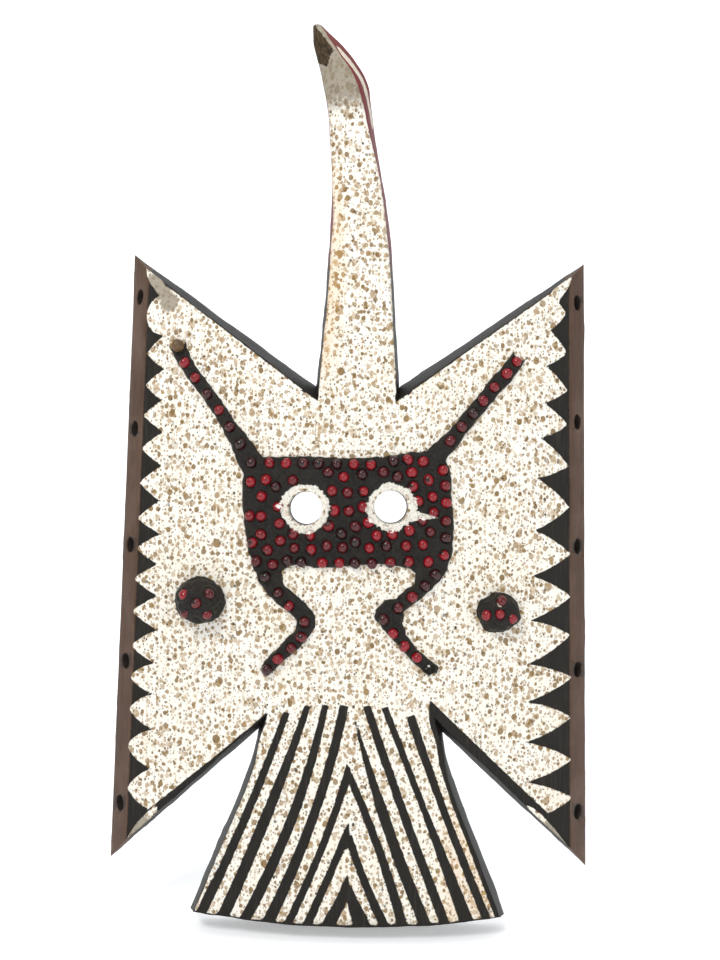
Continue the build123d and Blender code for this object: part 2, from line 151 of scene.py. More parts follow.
class MaskSizes(bpy.types.PropertyGroup):
    centre_thickness: FloatProperty(
        name="Centre thickness", description="Thickness of the board on its centre line", default=0.038,
        unit="LENGTH")
    side_thickness: FloatProperty(
        name="Side thickness", description="Thickness where the front meets the side bevels", default=0.020,
        unit="LENGTH")
    bevel_inset: FloatProperty(
        name="Bevel inset", description="How far the side bevels run in towards the front", default=0.016,
        unit="LENGTH")
    edge_draft: FloatProperty(
        name="Edge draft", description="Lean of the sawn edges", default=math.radians(14.0), subtype="ANGLE")
    carving_depth: FloatProperty(
        name="Carving depth", description="How far the dark border and bands are sunk", default=0.0009,
        unit="LENGTH")
    back_wall: FloatProperty(
        name="Back wall", description="Wood left between the hollow and the front", default=0.018, unit="LENGTH")
    wax_height: FloatProperty(
        name="Wax height", description="How far the wax stands out of the board", default=0.0032, unit="LENGTH")
    seed_radius: FloatProperty(
        name="Seed radius", description="Radius of a red seed", default=0.0039, unit="LENGTH")
    end_seed_radius: FloatProperty(
        name="End seed radius", description="Radius of the bare seed", default=0.005, unit="LENGTH")
    eye_radius: FloatProperty(
        name="Eye radius", description="Radius of the eye holes at the front", default=0.0123, unit="LENGTH")
    lacing_radius: FloatProperty(
        name="Lacing radius", description="Radius of the lacing holes", default=0.0055, unit="LENGTH")


def colour_property(name, description, default):
    """A colour setting with its words and its default."""
    return FloatVectorProperty(name=name, description=description, default=default, subtype="COLOR",
                               size=3, min=0.0, max=1.0)


class MaskColours(bpy.types.PropertyGroup):
    white: colour_property("White", "Chalky white paint", (0.79, 0.76, 0.70))
    ochre: colour_property("Ochre", "Drops and streaks in the white", (0.30, 0.185, 0.066))
    speck: colour_property("Speck", "Fine dark specks", (0.06, 0.045, 0.03))
    dark: colour_property("Dark", "Greyish black paint", (0.0095, 0.0075, 0.0055))
    wood: colour_property("Wood", "Bare wood of the bevels", (0.085, 0.043, 0.023))
    red_side: colour_property("Red side", "Faded red on the neck's sides", (0.16, 0.035, 0.035))
    stain: colour_property("Stain", "Warm yellow stain", (0.62, 0.36, 0.12))
    wax: colour_property("Wax", "Black wax", (0.0085, 0.0065, 0.0045))
    seed: colour_property("Seed", "Crimson of the fresh seeds", (0.235, 0.002, 0.008))
    seed_dark: colour_property("Dark seed", "Maroon of the aged seeds", (0.022, 0.002, 0.003))
    bare_seed: colour_property("Bare seed", "Brown of the seed without its skin", (0.13, 0.065, 0.018))
    stage: colour_property("Stage", "Floor and backdrop", (0.93, 0.95, 0.97))


def sizes():
    """The scene's size settings in millimetres, and its angles in radians."""
    found = bpy.context.scene.mask_sizes
    lengths = ("centre_thickness", "side_thickness", "bevel_inset", "carving_depth", "back_wall", "wax_height",
               "seed_radius", "end_seed_radius", "eye_radius", "lacing_radius")
    values = {name: getattr(found, name) * 1000 for name in lengths}
    values["edge_draft"] = found.edge_draft
    return values


# ---- arithmetic of curves and surfaces -----------------------------------------------------


def ramp(value, low, high):
    """0 below low, 1 above high, and a smooth S between: 3t^2 - 2t^3."""
    t = np.clip((value - low) / (high - low), 0, 1)
    return t * t * (3 - 2 * t)


def waves(points, length, seed, count=20):
    """Smooth noise of about unit size: a sum of cosines of random directions, with wavelengths near length."""
    rng = np.random.default_rng(seed)
    way = rng.normal(size=(count, points.shape[-1]))
    way /= np.linalg.norm(way, axis=1, keepdims=True)
    way *= (2 * math.pi / length * rng.uniform(0.6, 1.6, count))[:, None]
    return np.cos(points @ way.T + rng.uniform(0, 2 * math.pi, count)).sum(-1) / math.sqrt(count)


def through(knots, values, at):
    """A curve through values at the knots: each stretch is the cubic whose end slopes are those of the
    lines between the neighbouring knots."""
    knots, values, at = np.asarray(knots, float), np.asarray(values, float), np.asarray(at, float)
    slopes = np.gradient(values, knots, axis=0)
    i = np.clip(np.searchsorted(knots, at) - 1, 0, len(knots) - 2)
    gap = knots[i + 1] - knots[i]
    t = (at - knots[i]) / gap
    shape = at.shape + (1,) * (values.ndim - 1)
    t, gap = t.reshape(shape), gap.reshape(shape)
    return ((2 * t**3 - 3 * t**2 + 1) * values[i] + (t**3 - 2 * t**2 + t) * gap * slopes[i]
            + (3 * t**2 - 2 * t**3) * values[i + 1] + (t**3 - t**2) * gap * slopes[i + 1])


def along(points, share, smooth=True):
    """The point of an open curve at each share of its length."""
    points = np.asarray(points, float)
    run = np.concatenate(([0], np.cumsum(np.linalg.norm(np.diff(points, axis=0), axis=1))))
    run /= run[-1]
    if smooth:
        return through(run, points, share)
    return np.stack([np.interp(share, run, points[:, k]) for k in range(points.shape[1])], -1)


def outline_distance(x, z, outline):
    """Distance of each (x, z) from a closed outline, positive inside: the least distance to its edges, with
    the sign from counting the edges that lie to one side."""
    outline = np.asarray(outline, float)
    least = np.full(x.shape, 1e9)
    inside = np.zeros(x.shape, bool)
    for (ax, az), (bx, bz) in zip(outline, np.roll(outline, -1, axis=0)):
        ex, ez = bx - ax, bz - az
        t = np.clip(((x - ax) * ex + (z - az) * ez) / (ex * ex + ez * ez + 1e-12), 0, 1)
        least = np.minimum(least, (x - ax - t * ex) ** 2 + (z - az - t * ez) ** 2)
        crosses = (az > z) != (bz > z)
        inside ^= crosses & (x < ax + (z - az) * ex / (ez if abs(ez) > 1e-9 else 1e-9))
    return np.where(inside, 1, -1) * np.sqrt(least)


def front_at(x, s):
    """The front's y: a cylinder whose crown is the centre thickness and which falls to the side thickness."""
    rise = s["centre_thickness"] - s["side_thickness"]
    radius = (SIDE_HALF_WIDTH**2 + rise**2) / (2 * rise)
    return -s["centre_thickness"] + radius - np.sqrt(radius**2 - x**2)


def edge_inset(x, s):
    """How far a sawn edge has leaned in by the front: thickness times the tangent of the draft."""
    return -front_at(x, s) * math.tan(s["edge_draft"])


def inset_corner(before, at, after, first, second):
    """A corner of a clockwise outline, where its two edges meet once each has moved inwards."""
    before, at, after = (np.array(p, float) for p in (before, at, after))
    one, two = at - before, after - at
    one, two = one / np.linalg.norm(one), two / np.linalg.norm(two)
    return at + np.linalg.solve(np.array([[one[1], -one[0]], [two[1], -two[0]]]), (first, second))


def neck_ring(z):
    """Centre x and y, width, depth, turn and flare of the neck at each height."""
    found = through(NECK_RINGS[:, 0], NECK_RINGS[:, 1:], np.clip(z, -20, CROWN))
    return (found[..., 0], found[..., 1], found[..., 2], found[..., 3], np.radians(found[..., 4]),
            found[..., 5])


def neck_place(z, across, deep):
    """A point of the neck at height z: across and deep are measured in the ring's own turned axes."""
    cx, cy, _, _, turn, _ = neck_ring(z)
    return np.stack([cx + across * np.cos(turn) + deep * np.sin(turn),
                     cy - across * np.sin(turn) + deep * np.cos(turn), z], -1)


# ---- meshes --------------------------------------------------------------------------------


def quads(ids, flip=False):
    """The four-sided faces of a grid of vertex numbers."""
    corners = (ids[:-1, :-1], ids[:-1, 1:], ids[1:, 1:], ids[1:, :-1])
    faces = np.stack([c.ravel() for c in corners], -1)
    return faces[:, ::-1] if flip else faces


def make_object(name, points, faces, smooth_angle=38.0):
    """A closed mesh object from points in millimetres and lists of faces; its faces are turned outwards."""
    mesh = bpy.data.meshes.new(name)
    mesh.from_pydata((np.asarray(points) / 1000).tolist(), [], [f for part in faces for f in part.tolist()])
    tidy = bmesh.new()
    tidy.from_mesh(mesh)
    bmesh.ops.remove_doubles(tidy, verts=tidy.verts, dist=1e-6)
    bmesh.ops.dissolve_degenerate(tidy, edges=tidy.edges, dist=1e-6)
    bmesh.ops.recalc_face_normals(tidy, faces=tidy.faces)
    tidy.to_mesh(mesh)
    tidy.free()
    piece = bpy.data.objects.new(name, mesh)
    bpy.context.scene.collection.objects.link(piece)
    soften(piece, smooth_angle)
    return piece


def soften(piece, angle):
    """Smooth shading, broken at edges sharper than the angle."""
    piece.data.polygons.foreach_set("use_smooth", np.ones(len(piece.data.polygons), bool))
    piece.data.set_sharp_from_angle(angle=math.radians(angle))


def read_points(piece):
    """The vertices of a piece, and the way each faces, in millimetres."""
    mesh = piece.data
    points = np.empty(len(mesh.vertices) * 3)
    mesh.vertices.foreach_get("co", points)
    ways = np.empty(len(mesh.vertices) * 3)
    mesh.vertex_normals.foreach_get("vector", ways)
    return points.reshape(-1, 3) * 1000, ways.reshape(-1, 3)


def write_points(piece, points):
    """Puts moved vertices back."""
    piece.data.vertices.foreach_set("co", (points / 1000).ravel())
    piece.data.update()


def store(piece, name, values):
    """Keeps a number for each vertex, for the materials to read."""
    field = piece.data.attributes.new(name, "FLOAT", "POINT")
    field.data.foreach_set("value", np.asarray(values, np.float32))


def drill(piece, cutters):
    """Cuts closed shapes out of a piece and keeps the result as its mesh."""
    rings = 48
    points, faces, start = [], [], 0
    for place, way, profile in cutters:
        way = np.asarray(way, float) / np.linalg.norm(way)
        side = np.cross(way, (0.31, 0.17, 0.93))
        side /= np.linalg.norm(side)
        other = np.cross(way, side)
        turn = np.linspace(0, 2 * math.pi, rings, endpoint=False)
        circle = np.cos(turn)[:, None] * side + np.sin(turn)[:, None] * other
        wall = np.concatenate([np.asarray(place) + d * way + r * circle for d, r in profile])
        points.append(wall)
        ids = start + np.arange(len(profile) * rings).reshape(-1, rings)
        faces.append(quads(np.column_stack([ids, ids[:, 0]])).tolist())
        faces.append([ids[0][::-1].tolist(), ids[-1].tolist()])
        start += len(wall)
    mesh = bpy.data.meshes.new("cutter")
    mesh.from_pydata((np.concatenate(points) / 1000).tolist(), [], [f for part in faces for f in part])
    tidy = bmesh.new()
    tidy.from_mesh(mesh)
    bmesh.ops.recalc_face_normals(tidy, faces=tidy.faces)
    tidy.to_mesh(mesh)
    tidy.free()
    cutter = bpy.data.objects.new("cutter", mesh)
    bpy.context.scene.collection.objects.link(cutter)
    cut = piece.modifiers.new("cut", "BOOLEAN")
    cut.operation, cut.object, cut.solver = "DIFFERENCE", cutter, "MANIFOLD"
    bpy.context.view_layer.update()
    done = bpy.data.meshes.new_from_object(piece.evaluated_get(bpy.context.evaluated_depsgraph_get()))
    piece.modifiers.clear()
    if len(done.vertices) < 10:
        raise RuntimeError("drilling " + piece.name + " left nothing")
    piece.data = done
    bpy.data.objects.remove(cutter)
    bpy.data.meshes.remove(mesh)


# ---- the board -----------------------------------------------------------------------------
# columns from the centre line to the side, as shares of the half width, with finer steps by the teeth
HALF_COLUMNS = (16, 18, 24, 28)
BODY_ROWS = 220
TAIL_ROWS = 80
NECK_ROWS = 128


def column_shares(neck_share, tail_share):
    """Shares from -1 to 1 across the board, with a column exactly on each notch."""
    stops = (0, neck_share, tail_share, 0.76, 1.0)
    half = np.concatenate([np.linspace(a, b, n, endpoint=False)
                           for a, b, n in zip(stops[:-1], stops[1:], HALF_COLUMNS)] + [[1.0]])
    return np.concatenate([-half[:0:-1], half])


def board_layer(s, front, round_off):
    """One whole sheet of the board, front or back, drawn in by round_off from its arrises.

    Three grids that share their seams: the body runs in straight columns from the lower outline to the upper
    one, the tail fans out below it between two curved sides, and the neck is a stack of turned rings above it
    that shrink to a small crown."""
    lean = edge_inset if front else (lambda x, s: 0.0 * x)
    bevel = s["bevel_inset"] if front else 0.0
    wing_top = inset_corner(NECK_NOTCH, WING_TOP, WING_FOOT, lean(157, s) + round_off, bevel + round_off)
    wing_foot = inset_corner(WING_TOP, WING_FOOT, TAIL_NOTCH, bevel + round_off, lean(157, s) + round_off)
    tail_notch = inset_corner(WING_FOOT, TAIL_NOTCH, TAIL_SIDE[2], lean(69, s) + round_off,
                              TAIL_LEAN * lean(69, s) + round_off)
    slope = np.array(WING_TOP) - NECK_NOTCH
    slope /= np.linalg.norm(slope)
    start = np.array(NECK_NOTCH) + np.array((slope[1], -slope[0])) * (lean(31, s) + round_off)
    height = start[1]
    for _ in range(4):
        ring = neck_ring(np.array(height))
        half = ring[2] / 2 - ring[5] * front - round_off
        height = start[1] + (half - start[0]) * slope[1] / slope[0]
    neck_notch = np.array((half, height))

    neck_share, tail_share = 0.177, 0.34
    shares = column_shares(neck_share, tail_share)
    knots = np.array((-1, -neck_share, neck_share, 1))
    upper = np.stack([np.interp(shares, knots, (-wing_top[0], -neck_notch[0], neck_notch[0], wing_top[0])),
                      np.interp(shares, knots, (wing_top[1], neck_notch[1], neck_notch[1], wing_top[1]))], -1)
    knots = np.array((-1, -tail_share, tail_share, 1))
    lower = np.stack([np.interp(shares, knots, (-wing_foot[0], -tail_notch[0], tail_notch[0], wing_foot[0])),
                      np.interp(shares, knots, (wing_foot[1], tail_notch[1], tail_notch[1], wing_foot[1]))], -1)
    v = np.linspace(0, 1, BODY_ROWS + 1)[:, None, None]
    body = lower[None] * (1 - v) + upper[None] * v

    # the tail: half width and height of its sides at each row, then rows sagging towards the foot
    side = along(TAIL_SIDE, np.linspace(0, 1, 60))
    way = np.gradient(side, axis=0)
    way /= np.linalg.norm(way, axis=1, keepdims=True)
    side = side + np.stack([way[:, 1], -way[:, 0]], -1) * (TAIL_LEAN * lean(side[:, 0], s) + round_off)[:, None]
    side = np.concatenate([[tail_notch], side[side[:, 1] < tail_notch[1] - 4]])
    foot_lean = 1.2 * lean(np.array(60.0), s) + round_off
    keep = side[side[:, 1] > -383 + foot_lean]
    reach = (-383 + foot_lean - keep[-1, 1]) / (side[-1, 1] - keep[-1, 1] - 1e-9)
    side = np.concatenate([keep, [keep[-1] + np.clip(reach, 0, 1) * (side[-1] - keep[-1])]])
    side = along(side, np.linspace(0, 1, TAIL_ROWS + 1), smooth=False)
    inner = shares[np.abs(shares) <= tail_share + 1e-9] / tail_share
    t = np.linspace(0, 1, TAIL_ROWS + 1)[:, None]
    tail = np.stack([side[:, :1] * inner, side[:, 1:] - 5 * t * (1 - inner**2)], -1)

    # the neck: rings that shrink to a small crown
    inner = shares[np.abs(shares) <= neck_share + 1e-9] / neck_share
    t = np.linspace(0, 1, NECK_ROWS + 1)[:, None]
    z = neck_notch[1] + (t + 0.12 * np.sin(math.pi * t) ** 2 * t) * (CROWN - 0.4 * round_off - neck_notch[1])
    z = np.minimum(z, CROWN - 0.4 * round_off)
    z = np.broadcast_to(z, (NECK_ROWS + 1, len(inner)))
    _, _, width, depth, _, ring_flare = neck_ring(z)
    rounding = np.minimum(round_off * (1 + 2.6 * ramp(z, 5, 60)), 0.27 * width)
    neck_across = inner * (width / 2 - ring_flare * front - rounding)
    neck_deep = depth / 2 * (-1 if front else 1)
    if front:
        neck_deep = neck_deep + (front_at(neck_across, s) + s["centre_thickness"]) * (1 - ramp(z, 0, 120))
        neck_deep = neck_deep + 0.16 * depth * (neck_across / (width / 2)) ** 2 * ramp(z, 120, 225)
    neck = neck_place(z, neck_across, neck_deep)
    neck[..., 1] = np.minimum(neck[..., 1], 0)

    def lift(plan):
        """Gives a flat plan its y."""
        x, z = plan[..., 0], plan[..., 1]
        return np.stack([x, front_at(x, s) if front else 0 * x, z], -1)

    return lift(body), lift(tail), neck


def layer_loop(body, tail, neck):
    """The sheet's rim in order: up the left side, over the neck, down the right side and round the tail."""
    columns = body.shape[1]
    at_neck, at_tail = sum(HALF_COLUMNS[1:]), sum(HALF_COLUMNS[2:])
    neck_right, tail_right = columns - 1 - at_neck, columns - 1 - at_tail
    return np.concatenate([
        body[:, 0], body[-1, 1:at_neck + 1], neck[1:, 0], neck[-1, 1:], neck[-2::-1, -1],
        body[-1, neck_right + 1:], body[-2::-1, -1], body[0, -2:tail_right - 1:-1], tail[1:, -1],
        tail[-1, -2::-1], tail[-2::-1, 0], body[0, at_tail - 1:0:-1]])


def layer_ids(start, step=1):
    """Vertex numbers of one sheet's three grids, taking every step-th row and column."""
    columns = 2 * sum(HALF_COLUMNS)
    at_neck, at_tail = sum(HALF_COLUMNS[1:]) // step, sum(HALF_COLUMNS[2:]) // step
    rows, wide = BODY_ROWS // step + 1, columns // step + 1
    body = start + np.arange(rows * wide).reshape(rows, wide)
    start = start + body.size
    tail_wide, neck_wide = wide - 2 * at_tail, wide - 2 * at_neck
    tail_new = start + np.arange(TAIL_ROWS // step * tail_wide).reshape(-1, tail_wide)
    start += tail_new.size
    neck_new = start + np.arange(NECK_ROWS // step * neck_wide).reshape(-1, neck_wide)
    tail = np.concatenate([body[:1, at_tail:wide - at_tail], tail_new])
    neck = np.concatenate([body[-1:, at_neck:wide - at_neck], neck_new])
    return body, tail, neck, start + neck_new.size


def board_shape(s):
    """The whole board as one closed surface.

    A fine front sheet, rows of side wall that leave it by a rounded arris, run straight to the back and
    turn in again, and a back sheet of every second row and column, joined on by three triangles to each
    of its rim's steps."""
    sheet = board_layer(s, True, 1.2)
    crest = layer_loop(*board_layer(s, True, 0.0))
    heel = layer_loop(*board_layer(s, False, 0.0))
    back = board_layer(s, False, 1.6)
    body, tail, neck = sheet

    # the front's carving: what is dark is sunk, what bears wax is level, rings of wood stand round the eyes
    for part in (body, tail):
        x, z = part[..., 0], part[..., 2]
        white = white_field(x, z, s)
        deep = s["carving_depth"] * ramp(-white, -0.4, 1.0)
        for ex, ez in EYES:
            deep = deep - 3.3 * (1 - ramp(np.hypot(x - ex, z - ez), 13.6, 16.5))
        part[..., 1] += deep
    rim = layer_loop(body, tail, neck)

    drop = np.linalg.norm(heel - crest, axis=1, keepdims=True)
    shoulder = crest + (heel - crest) * (1.3 / drop) * (1 + 1.2 * ramp(crest[:, 2:], 5, 60))
    hem = heel + (crest - heel) * (1.6 / drop)
    rows = [rim]
    for t in (0.27, 0.5, 0.73):
        rows.append((1 - t) ** 2 * rim + 2 * t * (1 - t) * crest + t * t * shoulder)
    rows.append(shoulder)
    for t in (0.33, 0.67):
        rows.append(shoulder + t * (hem - shoulder))
    rows.append(hem)
    back_rim = layer_loop(*back)
    rows.append(0.25 * hem + 0.5 * heel + 0.25 * back_rim)

    ids_body, ids_tail, ids_neck, count = layer_ids(0)
    points = [body.reshape(-1, 3), tail[1:].reshape(-1, 3), neck[1:].reshape(-1, 3)]
    faces = [quads(ids_body), quads(ids_tail, True), quads(ids_neck)]
    loop = layer_loop(ids_body[..., None], ids_tail[..., None], ids_neck[..., None])[:, 0]
    wall = [loop]
    for row in rows[1:]:
        wall.append(count + np.arange(len(loop)))
        points.append(row)
        count += len(loop)
    wall = np.stack(wall)
    faces.append(quads(np.column_stack([wall, wall[:, 0]])))

    b_body, b_tail, b_neck, _ = layer_ids(count, 2)
    parts = [hollow(part[::2, ::2], s) for part in back]
    points += [parts[0].reshape(-1, 3), parts[1][1:].reshape(-1, 3), parts[2][1:].reshape(-1, 3)]
    faces += [quads(b_body, True), quads(b_tail), quads(b_neck, True)]
    coarse = loop_of_coarse(b_body, b_tail, b_neck)
    fine = wall[-1]
    a, b = coarse, np.roll(coarse, -1)
    f0, f1, f2 = fine[0::2], fine[1::2], np.roll(fine, -2)[0::2]
    faces.append(np.concatenate([np.stack(tri, -1) for tri in ((f0, f1, a), (f1, b, a), (f1, f2, b))]))
    return np.concatenate(points), faces


def loop_of_coarse(body, tail, neck):
    """The coarse sheet's rim, in the same order as the fine one."""
    columns = body.shape[1]
    at_neck, at_tail = sum(HALF_COLUMNS[1:]) // 2, sum(HALF_COLUMNS[2:]) // 2
    neck_right, tail_right = columns - 1 - at_neck, columns - 1 - at_tail
    return np.concatenate([
        body[:, 0], body[-1, 1:at_neck + 1], neck[1:, 0], neck[-1, 1:], neck[-2::-1, -1],
        body[-1, neck_right + 1:], body[-2::-1, -1], body[0, -2:tail_right - 1:-1], tail[1:, -1],
        tail[-1, -2::-1], tail[-2::-1, 0], body[0, at_tail - 1:0:-1]])


def hollow(part, s):
    """Sinks the back: a rounded box, floored parallel to the front with the wall's thickness between, and
    scalloped all over by the adze."""
    x, z = part[..., 0], part[..., 2]
    corner = 30.0
    qx = np.abs(x) - (136.0 - corner)
    qz = np.abs(z + 107.5) - (92.5 - corner)
    edge = corner - np.hypot(np.maximum(qx, 0), np.maximum(qz, 0)) - np.minimum(np.maximum(qx, qz), 0)
    floor = np.minimum(front_at(np.clip(x, -140, 140), s) + s["back_wall"], 0)
    part = part.copy()
    depth = ramp(edge, -1.5, 5.5) * -floor
    scallop = np.abs(np.sin(x / 9.0 + 0.6 * np.sin(z / 23.0))) * np.abs(np.sin(z / 13.0 + x / 41.0))
    level = ramp(part[..., 1], -6, -0.5)
    part[..., 1] -= (depth + 0.7 * scallop * ramp(edge, 4, 12)) * level
    return part


# ---- where the paint lies --------------------------------------------------------------------


def tooth_line(tips, valleys, bulge):
    """A row of teeth as a line: from valley to tip and back, each side bowed outwards by bulge."""
    stops = []
    for k, tip in enumerate(tips):
        stops += [valleys[k], tip]
    stops.append(valleys[len(tips)])
    stops = np.array(stops, float)
    a, b = stops[:-1], stops[1:]
    t = np.linspace(0, 1, 7)[:-1][None, :, None]
    bows = np.asarray(bulge)[:, None, None] * np.linalg.norm(b - a, axis=1)[:, None, None]
    normal = np.stack([a[:, 1] - b[:, 1], b[:, 0] - a[:, 0]], -1)
    normal /= np.linalg.norm(normal, axis=1, keepdims=True)
    side = np.sign(normal[:, 1:])
    upward = np.where((np.arange(len(a)) % 2 == 0)[:, None], 1.0, -1.0)
    normal = normal * side * upward
    line = a[:, None] + (b - a)[:, None] * t + normal[:, None] * bows * 4 * t * (1 - t)
    return np.concatenate([line.reshape(-1, 2), stops[-1:]])


def left_teeth():
    """The left row: broad leaves, the first and the last ones roundest."""
    tips = np.array(LEFT_TIPS, float)
    middle = (tips[1:] + tips[:-1]) / 2
    middle[:, 0] = -139.5 + 0.9 * np.sin(np.arange(len(middle)) * 2.3) - 0.008 * (55 - middle[:, 1])
    first, last = (-138.5, 73.0), (-141.5, -303.0)
    bulge = np.repeat(0.035 + 0.075 * ramp(np.abs(np.arange(len(tips)) - 5.5), 3, 7), 2)
    bulge[:2] = 0.2
    return tooth_line(LEFT_TIPS, [first, *middle.tolist(), last], bulge)


def right_teeth():
    """The right row: longer and more pointed."""
    return tooth_line(RIGHT_TIPS, RIGHT_VALLEYS, np.full(2 * len(RIGHT_TIPS), 0.05))


def line_side(x, z, a, b):
    """How far (x, z) lies inside the line from a to b of a clockwise outline."""
    way = np.array(b, float) - np.array(a, float)
    way /= np.linalg.norm(way)
    return (x - a[0]) * way[1] - (z - a[1]) * way[0]


def leaf(x, z, a, b, wide):
    """A narrow leaf from a to b: positive inside, widest in its middle."""
    way = np.array(b, float) - np.array(a, float)
    long = np.linalg.norm(way)
    way /= long
    run = ((x - a[0]) * way[0] + (z - a[1]) * way[1]) / long
    off = np.abs((x - a[0]) * way[1] - (z - a[1]) * way[0])
    return np.where((run > 0) & (run < 1), wide * np.sqrt(np.clip(4 * run * (1 - run), 0, 1)), -3) - off


def white_field(x, z, s):
    """Distance into the white of the body and tail, in millimetres; below nought lies the dark paint."""
    top = inset_corner(NECK_NOTCH, WING_TOP, WING_FOOT, edge_inset(157, s), s["bevel_inset"])
    foot = inset_corner(WING_TOP, WING_FOOT, TAIL_NOTCH, s["bevel_inset"], edge_inset(157, s))
    slope = np.array(WING_TOP) - NECK_NOTCH
    slope /= np.linalg.norm(slope)
    notch = np.array(NECK_NOTCH) + np.array((slope[1], -slope[0])) * edge_inset(31, s)
    tail = inset_corner(WING_FOOT, TAIL_NOTCH, TAIL_SIDE[2], edge_inset(69, s), TAIL_LEAN * edge_inset(69, s))
    far = 500.0
    left = outline_distance(x, z, [*left_teeth(), (-141, -360), (far, -360), (far, 200), (-135, 200)])
    right = outline_distance(x, z, [*right_teeth(), (126, -303), (126, -360), (-far, -360), (-far, 200),
                                    (150, 200), (150, 84)])
    away = ramp(np.abs(x), 60, 165)
    body = np.minimum(left, right)
    body = np.minimum(body, line_side(np.abs(x), z, notch, top) - 0.6)
    band = np.where(x > 0, 6.8, 1.2 + 4.5 * away)
    body = np.minimum(body, line_side(np.abs(x), z, foot, tail) - band)
    body = np.maximum(body, np.minimum(27.3 - np.abs(x), z + 60))
    # the leaves at the wing tips
    body = np.maximum(body, leaf(x, z, (-155.5, 92), (-133, 62), 4.2))
    body = np.maximum(body, leaf(x, z, (-161, -327), (-139, -300), 3.6))
    body = np.maximum(body, leaf(x, z, (155, 93), (133, 62), 4.0))
    body = np.maximum(body, leaf(x, z, (163, -334), (128, -293), 5.0))

    side = np.array(TAIL_SIDE, float)
    half = np.interp(-z, -side[:, 1], side[:, 0]) - TAIL_LEAN * edge_inset(90, s) * 1.06
    half = np.where(z > TAIL_NOTCH[1], tail[0] + (65.0 - tail[0]) * ramp(-z, -tail[1], 250), half)
    foot_z = TAIL_FOOT + 5 * (x / 118) ** 2 + 1.2 * edge_inset(60, s)
    trim = np.where(x > 0, 3.6, 0.2)
    area = np.minimum(np.minimum(half - np.abs(x) - trim, -z - 150), (z - foot_z) - 1.6)
    white = np.maximum(body, area)
    for bands in (LEFT_BANDS, RIGHT_BANDS):
        for top_z, *stops in bands:
            stops = np.array(stops, float)
            turned = math.copysign(1, stops[-1, 1])
            line = np.polyfit(stops[:, 0], stops[:, 1], 2)
            wide = np.interp(-z, -stops[:, 0], stops[:, 2])
            slant = np.cos(np.arctan(np.polyval(np.polyder(line), np.clip(z, -385, -215))))
            band = (wide - np.abs(x - np.polyval(line, z))) * slant
            if top_z is None:
                band = np.minimum(band, turned * (x + 0.8) + 0.05)
                band = np.minimum(band, stops[0, 0] + 16 - z)
            else:
                band = np.minimum(band, top_z - z + 0.25 * turned * (x - stops[0, 1]))
            white = np.minimum(white, -band)
    return white


